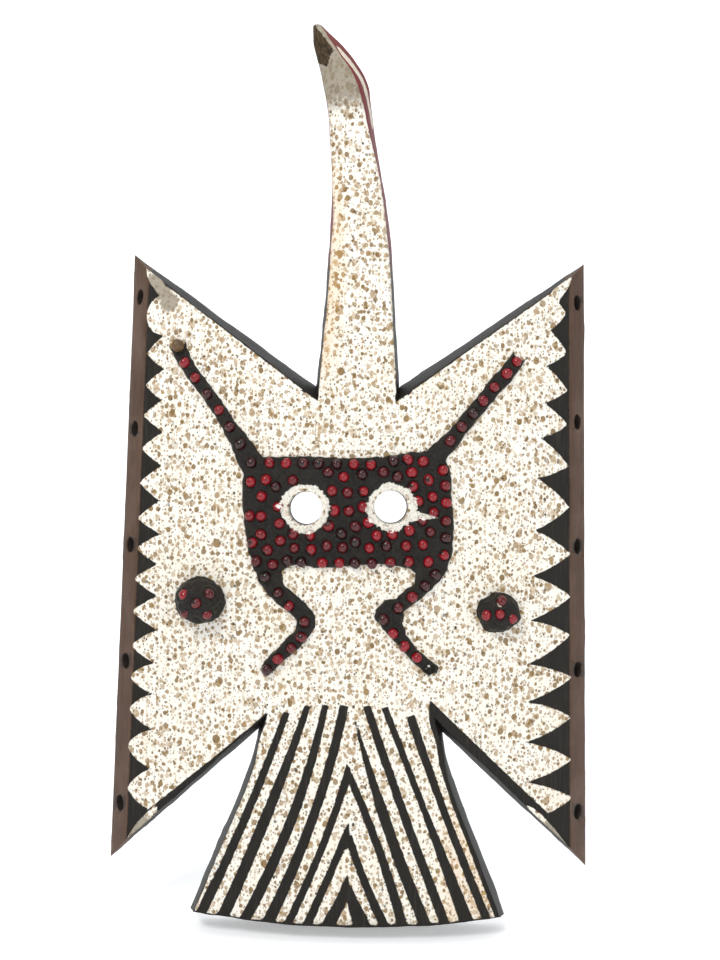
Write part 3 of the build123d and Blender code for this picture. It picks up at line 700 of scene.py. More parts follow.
def paint_fields(piece, s):
    """Stores where each coat lies, and where shade is painted into the holes: distances in millimetres, positive
    inside, and shares from 0 to 1.
    """
    points, ways = read_points(piece)
    x, y, z = points.T
    white = white_field(x, z, s)
    cx, cy, width, depth, turn, flare = neck_ring(z)
    dx, dy = x - cx, y - cy
    across = dx * np.cos(turn) - dy * np.sin(turn)
    deep = dx * np.sin(turn) + dy * np.cos(turn) + depth / 2
    front_half = width / 2 - flare
    neck_white = front_half - np.abs(across) + 1.2 - 1.6 * np.maximum(deep - 2.5, 0)
    neck = (z > 2) & (np.abs(x) < 38)
    white = np.where(neck, neck_white, white)
    white = np.where(~neck & (y > front_at(np.clip(x, -180, 180), s) + 2.6), -6, white)
    for ex, ez in EYES:
        white = np.where((np.hypot(x - ex, z - ez) < 17) & (ways[:, 1] < 0.5), 6.0, white)
    back = ways[:, 1] > 0.4
    white = np.where(back, -6.0, white)
    store(piece, "white", np.clip(white, -8, 8))

    edge = WING_TOP[0] + (WING_TOP[1] - z) / (WING_TOP[1] - WING_FOOT[1]) * (WING_FOOT[0] - WING_TOP[0])
    bare = np.abs(x) - (edge - s["bevel_inset"])
    bare = np.where(z < 130, bare, -8)
    bare = np.where(back, 6.0, bare)
    store(piece, "bare", np.clip(bare, -8, 8))

    # the head's red and its worn end stop at a line that draws in from the front's right edge
    right_side = neck & (across > 0)
    head_edge = front_half - 5.0 * ramp(z, 196, 228)
    red = np.where(neck & (deep > 0.5), ramp(z, 60, 150), 0)
    red = np.maximum(red, np.where(right_side & (z > 196),
                                   ramp(across, head_edge - 1, head_edge + 0.5), 0))
    red = np.maximum(red, np.where(neck & (z > 120), ramp(-across, front_half - 1.6, front_half), 0))
    store(piece, "red", red)
    lane = 0.40 + 0.46 * ramp(236 - z, 0, 56)
    stripe_half = 3.6 * ramp(z, 165, 204) * (1 - ramp(z, 228, 240)) + 0.2
    stripe = np.where(right_side & (z > 165) & (z < 240), stripe_half - np.abs(deep - lane * depth), -4)
    store(piece, "stripe", np.clip(stripe, -4, 4))

    tip = np.minimum(z - 224 - 0.7 * np.abs(across + 3), head_edge - across + 2.4)
    tip = np.where(z > 200, np.maximum(tip, np.minimum(z - 245, 1 - across)), -8)
    store(piece, "tip", np.clip(tip, -8, 8))

    neck_stain = ramp(-across, front_half * 0.25, front_half) * ramp(z, -10, 30) * (1 - ramp(z, 120, 190))
    stain = np.where(neck, neck_stain, 0)
    stain = np.maximum(stain, 0.85 * ramp(-z, 330, 385) * ramp(14 - np.abs(x + 4), 0, 30))
    stain = np.maximum(stain, 0.8 * ramp(-z, 270, 300) * ramp(x, 60, 78) * (z < -262) * (np.abs(x) < 112))
    stain = np.maximum(stain, 0.5 * (np.abs(x) > 120) * ramp(-z, 150, 330) * (x > 0) * ramp(x, 135, 160))
    store(piece, "stain", stain)
    dirt = np.where(neck, 0.75 * ramp(z, 186, 214), 0)
    for patch_x, patch_z, size in DIRT_PATCHES:
        dirt = np.maximum(dirt, 1 - ramp(np.hypot(x - patch_x, z - patch_z), size * 0.5, size * 1.6))
    dirt = np.maximum(dirt, 0.55 * ramp(-z, 362, 384))
    store(piece, "dirt", dirt)
    # painted shade: marks the whole of each lacing hole, and each eye bore more and more towards the back, so
    # that it is darkened to near black where shade falls
    hole = np.zeros(len(x))
    for sign, heights in ((-1, LEFT_LACES), (1, RIGHT_LACES)):
        for height in heights:
            place, way = lacing_axis(sign, height, s)
            off = points - place
            off = off - (off @ way)[:, None] * way
            hole = np.maximum(hole, (np.linalg.norm(off, axis=1) < s["lacing_radius"] + 0.35)
                              * (np.abs(x) > 140) * 1.0)
    eye_bore_shade = np.zeros(len(x))
    for ex, ez in EYES:
        eye_bore_shade = np.maximum(eye_bore_shade, (np.hypot(x - ex, z - ez) < s["eye_radius"] + 0.4) * ramp(y, -36, -14))
    store(piece, "hole", np.maximum(hole, eye_bore_shade))


def lacing_axis(sign, height, s):
    """The middle of a side bevel at a height and the way its lacing hole leaves it."""
    share = (WING_TOP[1] - height) / (WING_TOP[1] - WING_FOOT[1])
    edge = WING_TOP[0] + share * (WING_FOOT[0] - WING_TOP[0])
    place = np.array((sign * (edge - s["bevel_inset"] / 2), -s["side_thickness"] / 2, height))
    way = np.array((sign * s["side_thickness"], -s["bevel_inset"], 0.43))
    return place, way / np.linalg.norm(way)


# ---- wax and seeds ---------------------------------------------------------------------------


def wax_slab(name, start, end, first, last, seeds, s, step=1.25, sharp=False):
    """A slab of wax laid on the board, between four edge curves.

    Its plan is the Coons patch of the curves: the two rulings less the bilinear patch of the corners, with
    the lines drawn together near the edges. Its top rises from the board by a quarter ellipse over the
    first 2.6 mm from the rim, is lumpy, and swells into a ring round each seed; its underside lies in the
    board."""
    start, end, first, last = (np.asarray(c, float) for c in (start, end, first, last))
    long = max(np.linalg.norm(np.diff(c, axis=0), axis=1).sum() for c in (start, end))
    wide = max(np.linalg.norm(np.diff(c, axis=0), axis=1).sum() for c in (first, last))
    nu, nv = int(long / step) + 8, int(wide / step) + 8
    u = np.linspace(0, 1, nu)
    v = np.linspace(0, 1, nv)
    u = u - 0.8 * min(1, 12 / nu) * np.sin(2 * math.pi * u) / (2 * math.pi)
    v = v - min(0.9, 0.3 + 10 / nv) * np.sin(2 * math.pi * v) / (2 * math.pi)
    a, b = along(start, u, not sharp), along(end, u, not sharp)
    c, d = along(first, v, not sharp), along(last, v, not sharp)
    uu, vv = u[:, None, None], v[None, :, None]
    plan = ((1 - vv) * a[:, None] + vv * b[:, None] + (1 - uu) * c[None] + uu * d[None]
            - (1 - uu) * (1 - vv) * a[0] - uu * (1 - vv) * a[-1] - (1 - uu) * vv * b[0] - uu * vv * b[-1])
    x, z = plan[..., 0], plan[..., 1]
    rough = np.stack([x, z], -1)
    x = x + 0.35 * waves(rough, 9, 3)
    z = z + 0.35 * waves(rough, 9, 4)
    rim = np.concatenate([np.stack([x, z], -1)[:, 0], np.stack([x, z], -1)[-1, 1:],
                          np.stack([x, z], -1)[-2::-1, -1], np.stack([x, z], -1)[0, -2:0:-1]])
    inside = np.abs(outline_distance(x, z, rim))
    rise = np.sqrt(1 - (1 - np.clip(inside / 2.6, 0, 1)) ** 2)
    lumps = 0.26 * waves(rough, 11, 7) + 0.16 * waves(rough, 4.5, 8)
    height = rise * (s["wax_height"] + lumps)
    for sx, _, sz in seeds:
        r = np.hypot(x - sx, z - sz)
        height = height + rise * (0.75 * np.exp(-((r - 4.7) / 1.1) ** 2) - 1.1 * (1 - ramp(r, 2.6, 4.2)))
    if name.startswith("right_leg"):
        r = np.hypot(x - EMPTY_SOCKET[0], z - EMPTY_SOCKET[1])
        height = height + rise * (1.0 * np.exp(-((r - 4.6) / 1.0) ** 2) - 2.6 * (1 - ramp(r, 2.2, 4.2)))
    board = front_at(x, s)
    top = np.stack([x, board + 0.6 - height, z], -1)
    low = np.stack([x, board + 1.9, z], -1)
    ids = np.arange(nu * nv).reshape(nu, nv)
    under = ids + nu * nv
    loop = np.concatenate([ids[:, 0], ids[-1, 1:], ids[-2::-1, -1], ids[0, -2:0:-1]])
    wall = np.stack([loop, loop + nu * nv])
    faces = [quads(ids), quads(under, True), quads(np.column_stack([wall, wall[:, 0]]), True)]
    return make_object(name, np.concatenate([top.reshape(-1, 3), low.reshape(-1, 3)]), faces, 60)


def ribbon_edges(line, half):
    """The two edges of a band about a centre line: the line plus and minus its unit normal times the half
    width."""
    line, half = np.asarray(line, float), np.asarray(half, float)
    share = np.linspace(0, 1, 40)
    centre = along(line, share)
    way = np.gradient(centre, axis=0)
    way /= np.linalg.norm(way, axis=1, keepdims=True)
    reach = np.interp(share, np.linspace(0, 1, len(half)), half)[:, None]
    off = np.stack([-way[:, 1], way[:, 0]], -1) * reach
    return centre + off, centre - off


def rounded_end(a, b, bulge):
    """A curve from a to b that bows out by bulge times half their distance, as an ellipse."""
    a, b = np.asarray(a, float), np.asarray(b, float)
    turn = np.linspace(0, math.pi, 13)[:, None]
    middle, reach = (a + b) / 2, (a - b) / 2
    out = np.array((reach[1], -reach[0])) * bulge
    return middle + np.cos(turn) * reach + np.sin(turn) * out


def seed_places(node, radius):
    """The centres of a frame node's seeds: each front face's middle less the radius along its normal falls
    on its ball's centre, and those points are gathered."""
    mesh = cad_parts[node].data
    middles = np.empty(len(mesh.polygons) * 3)
    ways = np.empty(len(mesh.polygons) * 3)
    mesh.polygons.foreach_get("center", middles)
    mesh.polygons.foreach_get("normal", ways)
    ways = ways.reshape(-1, 3)
    guess = middles.reshape(-1, 3) * 1000 - radius * ways
    guess = guess[ways[:, 1] < -0.1]
    found = []
    while len(guess):
        close = np.linalg.norm(guess - guess[0], axis=1) < 0.8
        if close.sum() < 8:
            guess = guess[1:]
            continue
        centre = guess[close].mean(0)
        found.append(centre)
        guess = guess[np.linalg.norm(guess - centre, axis=1) > radius]
    return np.array(found)


def seed_group(name, centres, radius, seed, sink=0.9):
    """Seeds as one mesh: each is a ball drawn out a little along its own random axis, with poles closed.

    Its surface is the centre plus radius times (1, 1, stretch) times the unit sphere's point, turned at
    random. Each vertex keeps its seed's tone and how near it lies to the seed's dark eye."""
    rng = np.random.default_rng(seed)
    rings, around = 8, 12
    lat = np.linspace(0, math.pi, rings + 1)[1:-1]
    lon = np.linspace(0, 2 * math.pi, around, endpoint=False)
    grid = np.stack([np.sin(lat)[:, None] * np.cos(lon), np.sin(lat)[:, None] * np.sin(lon),
                     np.cos(lat)[:, None] * np.ones(around)], -1).reshape(-1, 3)
    ball = np.concatenate([grid, [(0, 0, 1), (0, 0, -1)]])
    ids = np.arange(len(grid)).reshape(rings - 1, around)
    ids = np.column_stack([ids, ids[:, 0]])
    top, foot = len(grid), len(grid) + 1
    north = np.stack([ids[0, :-1], ids[0, 1:], np.full(around, top)], -1)
    south = np.stack([ids[-1, 1:], ids[-1, :-1], np.full(around, foot)], -1)
    many = len(centres)
    spin, _ = np.linalg.qr(rng.normal(size=(many, 3, 3)))
    stretch = np.stack([np.ones(many), rng.uniform(0.93, 1.0, many), rng.uniform(1.0, 1.12, many)], -1)
    size = radius * rng.uniform(0.93, 1.03, many)
    points = np.einsum("nij,nkj->nki", spin, ball[None] * stretch[:, None]) * size[:, None, None]
    down = rng.uniform(0, 1, many) ** 2.2 * sink
    points = points + centres[:, None] + np.stack([0 * down, down, 0 * down], -1)[:, None]
    shift = (np.arange(many) * len(ball))[:, None, None]
    faces = [(quads(ids)[None] + shift).reshape(-1, 4), (north[None] + shift).reshape(-1, 3),
             (south[None] + shift).reshape(-1, 3)]
    eye = spin[:, :, 0]
    near = np.einsum("nki,ni->nk", (points - centres[:, None]) / size[:, None, None], eye)
    tone = np.repeat(rng.uniform(0, 1, many), len(ball))
    fields = {"tone": tone, "eye": near.ravel()}
    piece = make_object(name, points.reshape(-1, 3), faces, 80)
    for field, values in fields.items():
        store(piece, field, values)
    return piece


def boss_shape(name, place, size, seeds, s, broad=1.0):
    """A knob of wax: a closed dome about the line running forward, carried from the pole under the board to the
    pole in front. Its radius follows a bluff power curve, made lumpy and swollen into a ring round each seed."""
    radius, height = size
    rows, around = 46, 84
    p = np.linspace(0, 1, rows + 1)
    foot = 0.22
    climb = np.clip((p - foot) / (1 - foot), 0, 1)
    out = np.where(p < foot, p / foot, np.cos(climb * math.pi / 2) ** 0.62)
    rise = np.where(p < foot, 0, np.sin(climb * math.pi / 2) ** 1.15)
    turn = np.linspace(0, 2 * math.pi, around, endpoint=False)
    x = broad * radius * out[:, None] * np.cos(turn)
    z = radius * out[:, None] * np.sin(turn)
    y = front_at(place[0], s) + 1.6 - (height + 1.6) * rise[:, None] * np.ones(around)
    points = np.stack([x + place[0], y, z + place[1]], -1)
    ids = np.arange(points.shape[0] * around).reshape(-1, around)
    middle = np.array((place[0], front_at(place[0], s), place[1]))
    outward = points - middle
    outward /= np.linalg.norm(outward, axis=-1, keepdims=True) + 1e-9
    swell = 0.75 * waves(points, 13, 21) + 0.35 * waves(points, 5.5, 22)
    for centre in seeds:
        gap = np.linalg.norm(points - centre, axis=-1)
        swell = swell + 1.0 * np.exp(-((gap - 5.0) / 1.6) ** 2)
    rim = (p > foot * 0.98)[:, None]
    points = points + outward * (swell * rim * ramp(rise, 0, 0.2)[:, None])[..., None]
    points[-1] = points[-1].mean(0)
    points[0] = points[0].mean(0)
    faces = [quads(np.column_stack([ids, ids[:, 0]]))]
    return make_object(name, points.reshape(-1, 3), faces, 70)


# ---- shader arithmetic -----------------------------------------------------------------------


class Wire:
    """A number that varies over a surface; arithmetic on it adds Math nodes."""

    def __init__(self, shop, socket):
        self.shop, self.socket = shop, socket

    def __add__(self, other):
        return self.shop.maths("ADD", self, other)

    __radd__ = __add__

    def __sub__(self, other):
        return self.shop.maths("SUBTRACT", self, other)

    def __rsub__(self, other):
        return self.shop.maths("SUBTRACT", other, self)

    def __mul__(self, other):
        return self.shop.maths("MULTIPLY", self, other)

    __rmul__ = __mul__

    def __truediv__(self, other):
        return self.shop.maths("DIVIDE", self, other)

    def above(self, level, soft):
        """0 below the level, 1 above it, over a soft width."""
        return self.shop.maths("MULTIPLY_ADD", self, 1 / soft, 0.5 - level / soft, clamp=True)

    def largest(self, other):
        return self.shop.maths("MAXIMUM", self, other)

    def smallest(self, other):
        return self.shop.maths("MINIMUM", self, other)


class Shop:
    """Builds one material's nodes."""

    def __init__(self, name):
        self.material = bpy.data.materials.new(name + "_finish")
        self.material.use_nodes = True
        self.tree = self.material.node_tree
        self.tree.nodes.clear()
        self.place = self.node("ShaderNodeTexCoord").outputs["Object"]
        self.mm = self.vector("SCALE", self.place, scale=1000.0)

    def link(self, value, socket):
        if isinstance(value, Wire):
            value = value.socket
        if isinstance(value, bpy.types.NodeSocket):
            self.tree.links.new(value, socket)
        else:
            socket.default_value = value

    def node(self, kind, settings=None, inputs=None):
        """Adds a node: its settings first, then the values or links of its sockets."""
        made = self.tree.nodes.new(kind)
        for key, value in (settings or {}).items():
            setattr(made, key, value)
        for key, value in (inputs or {}).items():
            self.link(value, made.inputs[key])
        return made

    def maths(self, operation, *values, clamp=False):
        settings = {"operation": operation, "use_clamp": clamp}
        made = self.node("ShaderNodeMath", settings, dict(enumerate(values)))
        return Wire(self, made.outputs[0])

    def vector(self, operation, a, b=None, scale=None):
        inputs = {0: a}
        if b is not None:
            inputs[1] = b
        if scale is not None:
            inputs["Scale"] = scale
        made = self.node("ShaderNodeVectorMath", {"operation": operation}, inputs)
        out = made.outputs["Value" if operation in ("LENGTH", "DISTANCE", "DOT_PRODUCT") else "Vector"]
        return Wire(self, out) if out.name == "Value" else out

    def mix(self, share, a, b, blend="MIX"):
        """A colour between a and b."""
        made = self.node("ShaderNodeMix", {"data_type": "RGBA", "blend_type": blend, "clamp_factor": True})
        for socket, value in ((0, share), (6, a), (7, b)):
            if socket and isinstance(value, (tuple, list)):
                value = (*value[:3], 1.0)
            self.link(value, made.inputs[socket])
        return made.outputs[2]

    def field(self, name):
        """A number kept on the mesh."""
        return Wire(self, self.node("ShaderNodeAttribute", {"attribute_name": name}).outputs["Fac"])

    def split(self, vector):
        parts = self.node("ShaderNodeSeparateXYZ", None, {0: vector}).outputs
        return [Wire(self, part) for part in parts]

    def join(self, x, y, z):
        return self.node("ShaderNodeCombineXYZ", None, {0: x, 1: y, 2: z}).outputs[0]

    def stretched(self, x, y, z):
        """The place in millimetres, drawn out along each axis."""
        return self.vector("MULTIPLY", self.mm, (1 / x, 1 / y, 1 / z))

    def noise(self, size, detail=2.0, rough=0.5, at=None):
        """Cloudy noise from 0 to 1, with patches of about size millimetres."""
        made = self.node("ShaderNodeTexNoise", None, {"Vector": at if at is not None else self.mm,
                                                      "Scale": 1.0 / size, "Detail": detail, "Roughness": rough})
        return Wire(self, made.outputs[0])

    def cells(self, size, at=None, shift=(0.0, 0.0, 0.0)):
        """Distance from the nearest of points scattered over a plane, in millimetres, and three random
        numbers of it."""
        moved = self.vector("ADD", at if at is not None else self.mm, shift)
        made = self.node("ShaderNodeTexVoronoi", {"voronoi_dimensions": "2D"},
                         {"Vector": moved, "Scale": 1.0 / size})
        parts = self.node("ShaderNodeSeparateColor", None, {0: made.outputs["Color"]}).outputs
        return Wire(self, made.outputs["Distance"]) * size, [Wire(self, part) for part in parts]

    def bump(self, height, distance, strength=1.0, under=None):
        """A surface roughened by a height of 0 to 1 over a distance in metres."""
        inputs = {"Height": height, "Distance": distance, "Strength": strength}
        if under is not None:
            inputs["Normal"] = under
        return self.node("ShaderNodeBump", None, inputs).outputs[0]

    def finish(self, **inputs):
        """Closes the material with one Principled shader."""
        names = {key: key.replace("_", " ") for key in inputs}
        shader = self.node("ShaderNodeBsdfPrincipled", None, {names[k]: v for k, v in inputs.items()})
        out = self.node("ShaderNodeOutputMaterial")
        self.tree.links.new(shader.outputs[0], out.inputs[0])
        return self.material


def colour(name):
    """A colour setting as a plain tuple."""
    return tuple(getattr(bpy.context.scene.mask_colours, name))


def shade(value, by):
    """A colour made lighter or darker."""
    return tuple(min(1.0, channel * by) for channel in value)


def drops(shop, cell, radius, share, shift, at, soft=0.35):
    """Round drops in a share of the cells, each with its own radius; returns their cover and their tone."""
    gap, (one, two, three) = shop.cells(cell, at, shift)
    size = two * (0.65 * radius) + 0.4 * radius
    cover = (size - gap).above(0.0, soft) * (share - one).above(0.0, 0.02)
    return cover, three


def eye_splash(shop):
    """White paint brushed round the eyes: inside a ring whose radius jumps about with the direction, with
    one stroke drawn out to the right of the right eye."""
    x, _, z = shop.split(shop.mm)
    cover = None
    for index, (ex, ez) in enumerate(EYES):
        away = shop.join(x - ex, 0.0, z - ez)
        gap = shop.vector("LENGTH", away)
        way = shop.vector("NORMALIZE", away)
        spikes = shop.noise(0.16, 3.0, 0.7, shop.vector("ADD", way, (7.0 * index, 3.0, 1.0)))
        broad = shop.noise(0.9, 1.0, 0.5, shop.vector("ADD", way, (3.0, 7.0 * index, 2.0)))
        reach = spikes * 6.5 + broad * 5.0 + 11.6
        ring = (reach - gap).above(0.0, 0.5)
        cover = ring if cover is None else cover.largest(ring)
    ex, ez = EYES[1]
    run = (x - (ex + 14.0)) * (1 / 19.0)
    thin = (z - (ez - 5.5)) + run * 1.2
    thin = shop.maths("ABSOLUTE", thin)
    stroke = ((1.0 - run) * 4.4 + (shop.noise(2.2, 2.0) - 0.5) * 2.4 - thin).above(0.0, 0.5)
    stroke = stroke * run.above(0.0, 0.05) * (1.0 - run).above(0.0, 0.05)
    lx, lz = EYES[0]
    run = ((lx - 13.0) - x) * (1 / 8.0)
    thin = shop.maths("ABSOLUTE", z - (lz + 1.5))
    point = ((1.0 - run) * 5.6 - thin).above(0.0, 0.6) * run.above(0.0, 0.05) * (1.0 - run).above(0.0, 0.05)
    return cover.largest(stroke).largest(point)


def white_paint(shop):
    """The chalky white with its ochre drops, dark specks and brush streaks: a colour and a height."""
    wobble = shop.node("ShaderNodeTexNoise", None,
                       {"Vector": shop.mm, "Scale": 0.45, "Detail": 2.0}).outputs[1]
    push = shop.vector("SCALE", shop.vector("SUBTRACT", wobble, (0.5, 0.5, 0.5)), scale=0.9)
    bent = shop.vector("ADD", shop.vector("MULTIPLY", shop.mm, (1.0, 1.0, 0.86)), push)
    x, _, z = shop.split(bent)
    flat = shop.join(x, z, 0.0)
    crowd = shop.noise(38.0, 2.0)
    streak = shop.noise(1.0, 4.0, 0.6, shop.stretched(1.6, 1.6, 26.0))
    thin = shop.noise(1.0, 3.0, 0.6, shop.stretched(0.8, 0.8, 9.0))
    base = shop.mix((streak - 0.47) * 1.7, colour("white"), (0.70, 0.60, 0.43))
    base = shop.mix((crowd - 0.42) * 0.8, base, (0.80, 0.71, 0.52))
    scratch = (streak * thin).above(0.385, 0.05) * 0.55
    base = shop.mix(scratch, base, (0.42, 0.30, 0.16))
    height = streak * 0.25
    ochre = colour("ochre")
    for cell, radius, share, shift in DROP_LAYERS:
        cover, tone = drops(shop, cell, radius, share, shift, flat)
        rather = cover * (tone * 0.5 + 0.46)
        tint = shop.mix(tone, shade(ochre, 1.3), shade(ochre, 0.6))
        base = shop.mix(rather, base, tint)
        height = height + cover * 0.22
    for cell, radius, share, shift in SPECK_LAYERS:
        cover, tone = drops(shop, cell, radius, share, shift, flat, 0.2)
        base = shop.mix(cover * (tone * 0.4 + 0.55), base, colour("speck"))
        height = height + cover * 0.2
    return base, height


def dark_paint(shop):
    """Greyish black paint, streaked with the grain."""
    grain = shop.noise(1.0, 4.0, 0.6, shop.stretched(1.3, 1.3, 30.0))
    cloud = shop.noise(14.0, 3.0)
    dark = colour("dark")
    base = shop.mix(cloud, shade(dark, 0.7), shade(dark, 1.55))
    base = shop.mix((grain - 0.52) * 3.0, base, (0.036, 0.032, 0.026))
    return base, grain


def painted_wood():
    """The board's finish: white, dark, red and bare parts, each where its field says, with ragged edges."""
    shop = Shop("painted_wood")
    ragged = (shop.noise(5.0, 2.0) - 0.5) * 3.2 + (shop.noise(1.3, 2.0) - 0.5) * 1.4
    white, thick = white_paint(shop)
    dark, grain = dark_paint(shop)
    stain, dirt = shop.field("stain"), shop.field("dirt")
    white = shop.mix(stain * (shop.noise(9.0, 3.0) * 1.5) * 0.42, white, colour("stain"))
    grime = (dirt * 1.3 + shop.noise(2.2, 4.0, 0.65) - 1.02).above(0.0, 0.5)
    white = shop.mix(grime * 0.8, white, (0.15, 0.115, 0.075))
    white = shop.mix(dirt * 0.3, white, (0.42, 0.38, 0.30))

    # bare wood with long grain, greyed where it is handled
    long_grain = shop.noise(1.0, 5.0, 0.62, shop.stretched(1.5, 1.5, 46.0))
    fine = shop.noise(1.0, 3.0, 0.6, shop.stretched(0.5, 0.5, 12.0))
    wood = colour("wood")
    bare = shop.mix((long_grain - 0.3) * 1.9, shade(wood, 0.55), shade(wood, 1.35))
    bare = shop.mix((shop.noise(30.0, 3.0) - 0.45) * 1.5, bare, (0.16, 0.10, 0.072))
    bare = shop.mix((0.42 - fine) * 3.0, bare, shade(wood, 0.35))
    pits = (shop.noise(1.0, 2.0, 0.5, shop.stretched(1.2, 1.2, 5.0)) - 0.7) * 6.0
    bare = shop.mix(pits, bare, (0.02, 0.013, 0.008))

    x, y, _ = shop.split(shop.mm)
    behind = (y + shop.noise(8.0, 2.0) * 2.0).above(0.2, 1.5)
    bare = shop.mix(behind * 0.35, bare, (0.07, 0.038, 0.022))

    red = shop.mix(grain, shade(colour("red_side"), 1.45), shade(colour("red_side"), 0.55))
    coat = shop.mix((shop.field("red") + ragged * 0.1).above(0.45, 0.5), dark, red)
    stripe = (shop.field("stripe") + ragged * 0.35).above(0.0, 0.5)
    coat = shop.mix(stripe * (shop.noise(1.0, 3.0, 0.6, shop.stretched(1.0, 1.0, 9.0)) * 1.9).smallest(1.0),
                    coat, (0.66, 0.60, 0.50))
    is_bare = (shop.field("bare") + ragged * 0.45).above(-0.3, 0.8)
    coat = shop.mix(is_bare, coat, bare)
    is_white = (shop.field("white") + ragged * 0.42).above(0.0, 0.45)
    coat = shop.mix(is_white, coat, white)
    worn = (shop.field("tip") + ragged * 0.9).above(0.0, 0.7)
    horn = shop.mix((shop.noise(1.0, 4.0, 0.6, shop.stretched(1.2, 1.2, 14.0)) - 0.35) * 2.2,
                    (0.012, 0.009, 0.006), (0.12, 0.075, 0.035))
    coat = shop.mix(worn, coat, horn)
    # painted shade: near black laid into the lacing holes and down the eye bores
    coat = shop.mix(shop.field("hole") * 0.93, coat, (0.012, 0.009, 0.007))
    height = shop.mix(is_white, shop.mix(is_bare, grain * 0.5, long_grain), thick + 0.55)
    normal = shop.bump(height, 0.00035, 0.75)
    rough = shop.mix(is_white, (0.6, 0.6, 0.6), (0.8, 0.8, 0.8))
    return shop.finish(Base_Color=coat, Roughness=rough, Normal=normal, Specular_IOR_Level=0.22)


def black_wax():
    """Dark wax: lumpy and dull, darker in the hollows of its lumps and lighter on their crowns, flecked with
    dusty grit, with the white brushed over it round the eyes.
    """
    shop = Shop("black_wax")
    lumps = shop.noise(3.2, 5.0, 0.62)
    grit = shop.noise(0.9, 3.0, 0.6)
    wax = colour("wax")
    base = shop.mix((lumps - 0.35) * 1.8, shade(wax, 0.6), shade(wax, 2.4))
    base = shop.mix((shop.noise(26.0, 3.0) - 0.5) * 1.2, base, (0.026, 0.020, 0.013))
    base = shop.mix((grit - 0.62) * 3.0, base, (0.050, 0.041, 0.029))
    splash = eye_splash(shop)
    chalk = shop.mix((shop.noise(1.6, 4.0, 0.65) - 0.45) * 2.2, (0.80, 0.77, 0.69), (0.33, 0.28, 0.19))
    base = shop.mix(splash, base, chalk)
    x, _, z = shop.split(shop.mm)
    chip = shop.vector("LENGTH", shop.join(x - 104.0, 0.0, z + 145.5))
    base = shop.mix((2.1 + (shop.noise(1.5, 2.0) - 0.5) * 2.5 - chip).above(0.0, 0.5), base,
                    (0.55, 0.48, 0.36))
    normal = shop.bump(lumps + grit * 0.35 + splash * 0.4, 0.0019, 1.0)
    rough = shop.mix(splash, (0.48, 0.48, 0.48), (0.8, 0.8, 0.8))
    return shop.finish(Base_Color=base, Roughness=rough, Normal=normal, Specular_IOR_Level=0.28)


def red_seed():
    """Seeds: crimson to nearly black by their tone, with a dark eye, a polished skin and some white paint."""
    shop = Shop("red_seed")
    tone, eye = shop.field("tone"), shop.field("eye")
    red, deep = colour("seed"), colour("seed_dark")
    base = shop.mix((tone - 0.33) * 1.8, red, deep)
    base = shop.mix((shop.noise(2.4, 3.0) - 0.45) * 1.3, base, shade(red, 0.38))
    base = shop.mix((eye + (shop.noise(1.8, 2.0) - 0.5) * 0.35).above(0.74, 0.1) * 0.9, base,
                    (0.012, 0.006, 0.005))
    splash = eye_splash(shop) * (shop.noise(2.0, 2.0)).above(0.42, 0.12)
    base = shop.mix(splash, base, (0.80, 0.76, 0.69))
    dull = shop.noise(1.7, 3.0)
    normal = shop.bump(shop.noise(1.4, 3.0), 0.00025, 0.6)
    return shop.finish(Base_Color=base, Roughness=(dull - 0.3) * 0.35 + 0.2, Normal=normal, Coat_Weight=0.4,
                       Coat_Roughness=0.1, Specular_IOR_Level=0.3)


def bare_seed():
    """The seed that has lost its red skin: mottled brown."""
    shop = Shop("bare_seed")
    brown = colour("bare_seed")
    base = shop.mix((shop.noise(3.0, 4.0, 0.6) - 0.35) * 2.0, shade(brown, 0.35), shade(brown, 1.6))
    base = shop.mix((shop.noise(1.1, 2.0) - 0.6) * 3.0, base, (0.02, 0.012, 0.006))
    normal = shop.bump(shop.noise(1.5, 4.0, 0.6), 0.0006, 0.8)
    return shop.finish(Base_Color=base, Roughness=0.45, Normal=normal)


def stage_finish():
    """A pale, even, barely mottled paper that gives off a little light of its own."""
    shop = Shop("stage_paper")
    pale = colour("stage")
    base = shop.mix(shop.noise(220.0, 2.0), pale, shade(pale, 0.985))
    return shop.finish(Base_Color=base, Roughness=0.9, Emission_Color=(1.0, 1.0, 1.0, 1.0),
                       Emission_Strength=PAPER_GLOW)


def material(name):
    """The named material, made once."""
    makers = {"painted_wood": painted_wood, "black_wax": black_wax, "red_seed": red_seed,
              "bare_seed": bare_seed, "stage_paper": stage_finish}
    return bpy.data.materials.get(name + "_finish") or makers[name]()


def place_piece(piece, node, slot):
    """Gives a piece the material of its slot and its body, and hides the frame node that it stands for."""
    piece.data.materials.clear()
    piece.data.materials.append(material(slot))
    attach(piece, "root")
    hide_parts(node)


# ---- operators -------------------------------------------------------------------------------


class MASK_OT_board(bpy.types.Operator):
    """Carves and paints the winged board, its tail and its neck"""

    bl_idname = "mask.board"
    bl_label = "Board"

    def execute(self, context):
        s = sizes()
        points, faces = board_shape(s)
        piece = make_object("painted_board", points, faces, 42)
        points, ways = read_points(piece)
        hand = 0.28 * waves(points, 34, 11) + 0.10 * waves(points, 8, 12)
        keep = 1 - ramp(points[:, 1], -1.2, -0.2) * 0.7
        write_points(piece, points + ways * (hand * keep)[:, None])
        cutters = []
        for x, z in EYES:
            r = s["eye_radius"]
            cutters.append(((x, 0, z), (0, -1, 0),
                            [(-3, r - 1.3), (38, r - 0.1), (40.2, r + 0.6), (41.2, r + 1.6), (50, r + 1.8)]))
        for sign, heights in ((-1, LEFT_LACES), (1, RIGHT_LACES)):
            for height in heights:
                place, way = lacing_axis(sign, height, s)
                r = s["lacing_radius"]
                cutters.append((place, way, [(-40, r), (-0.8, r), (0.4, r + 0.5), (12, r + 2.5)]))
        drill(piece, cutters)
        soften(piece, 42)
        paint_fields(piece, s)
        place_piece(piece, "mask_board", "painted_wood")
        return {"FINISHED"}


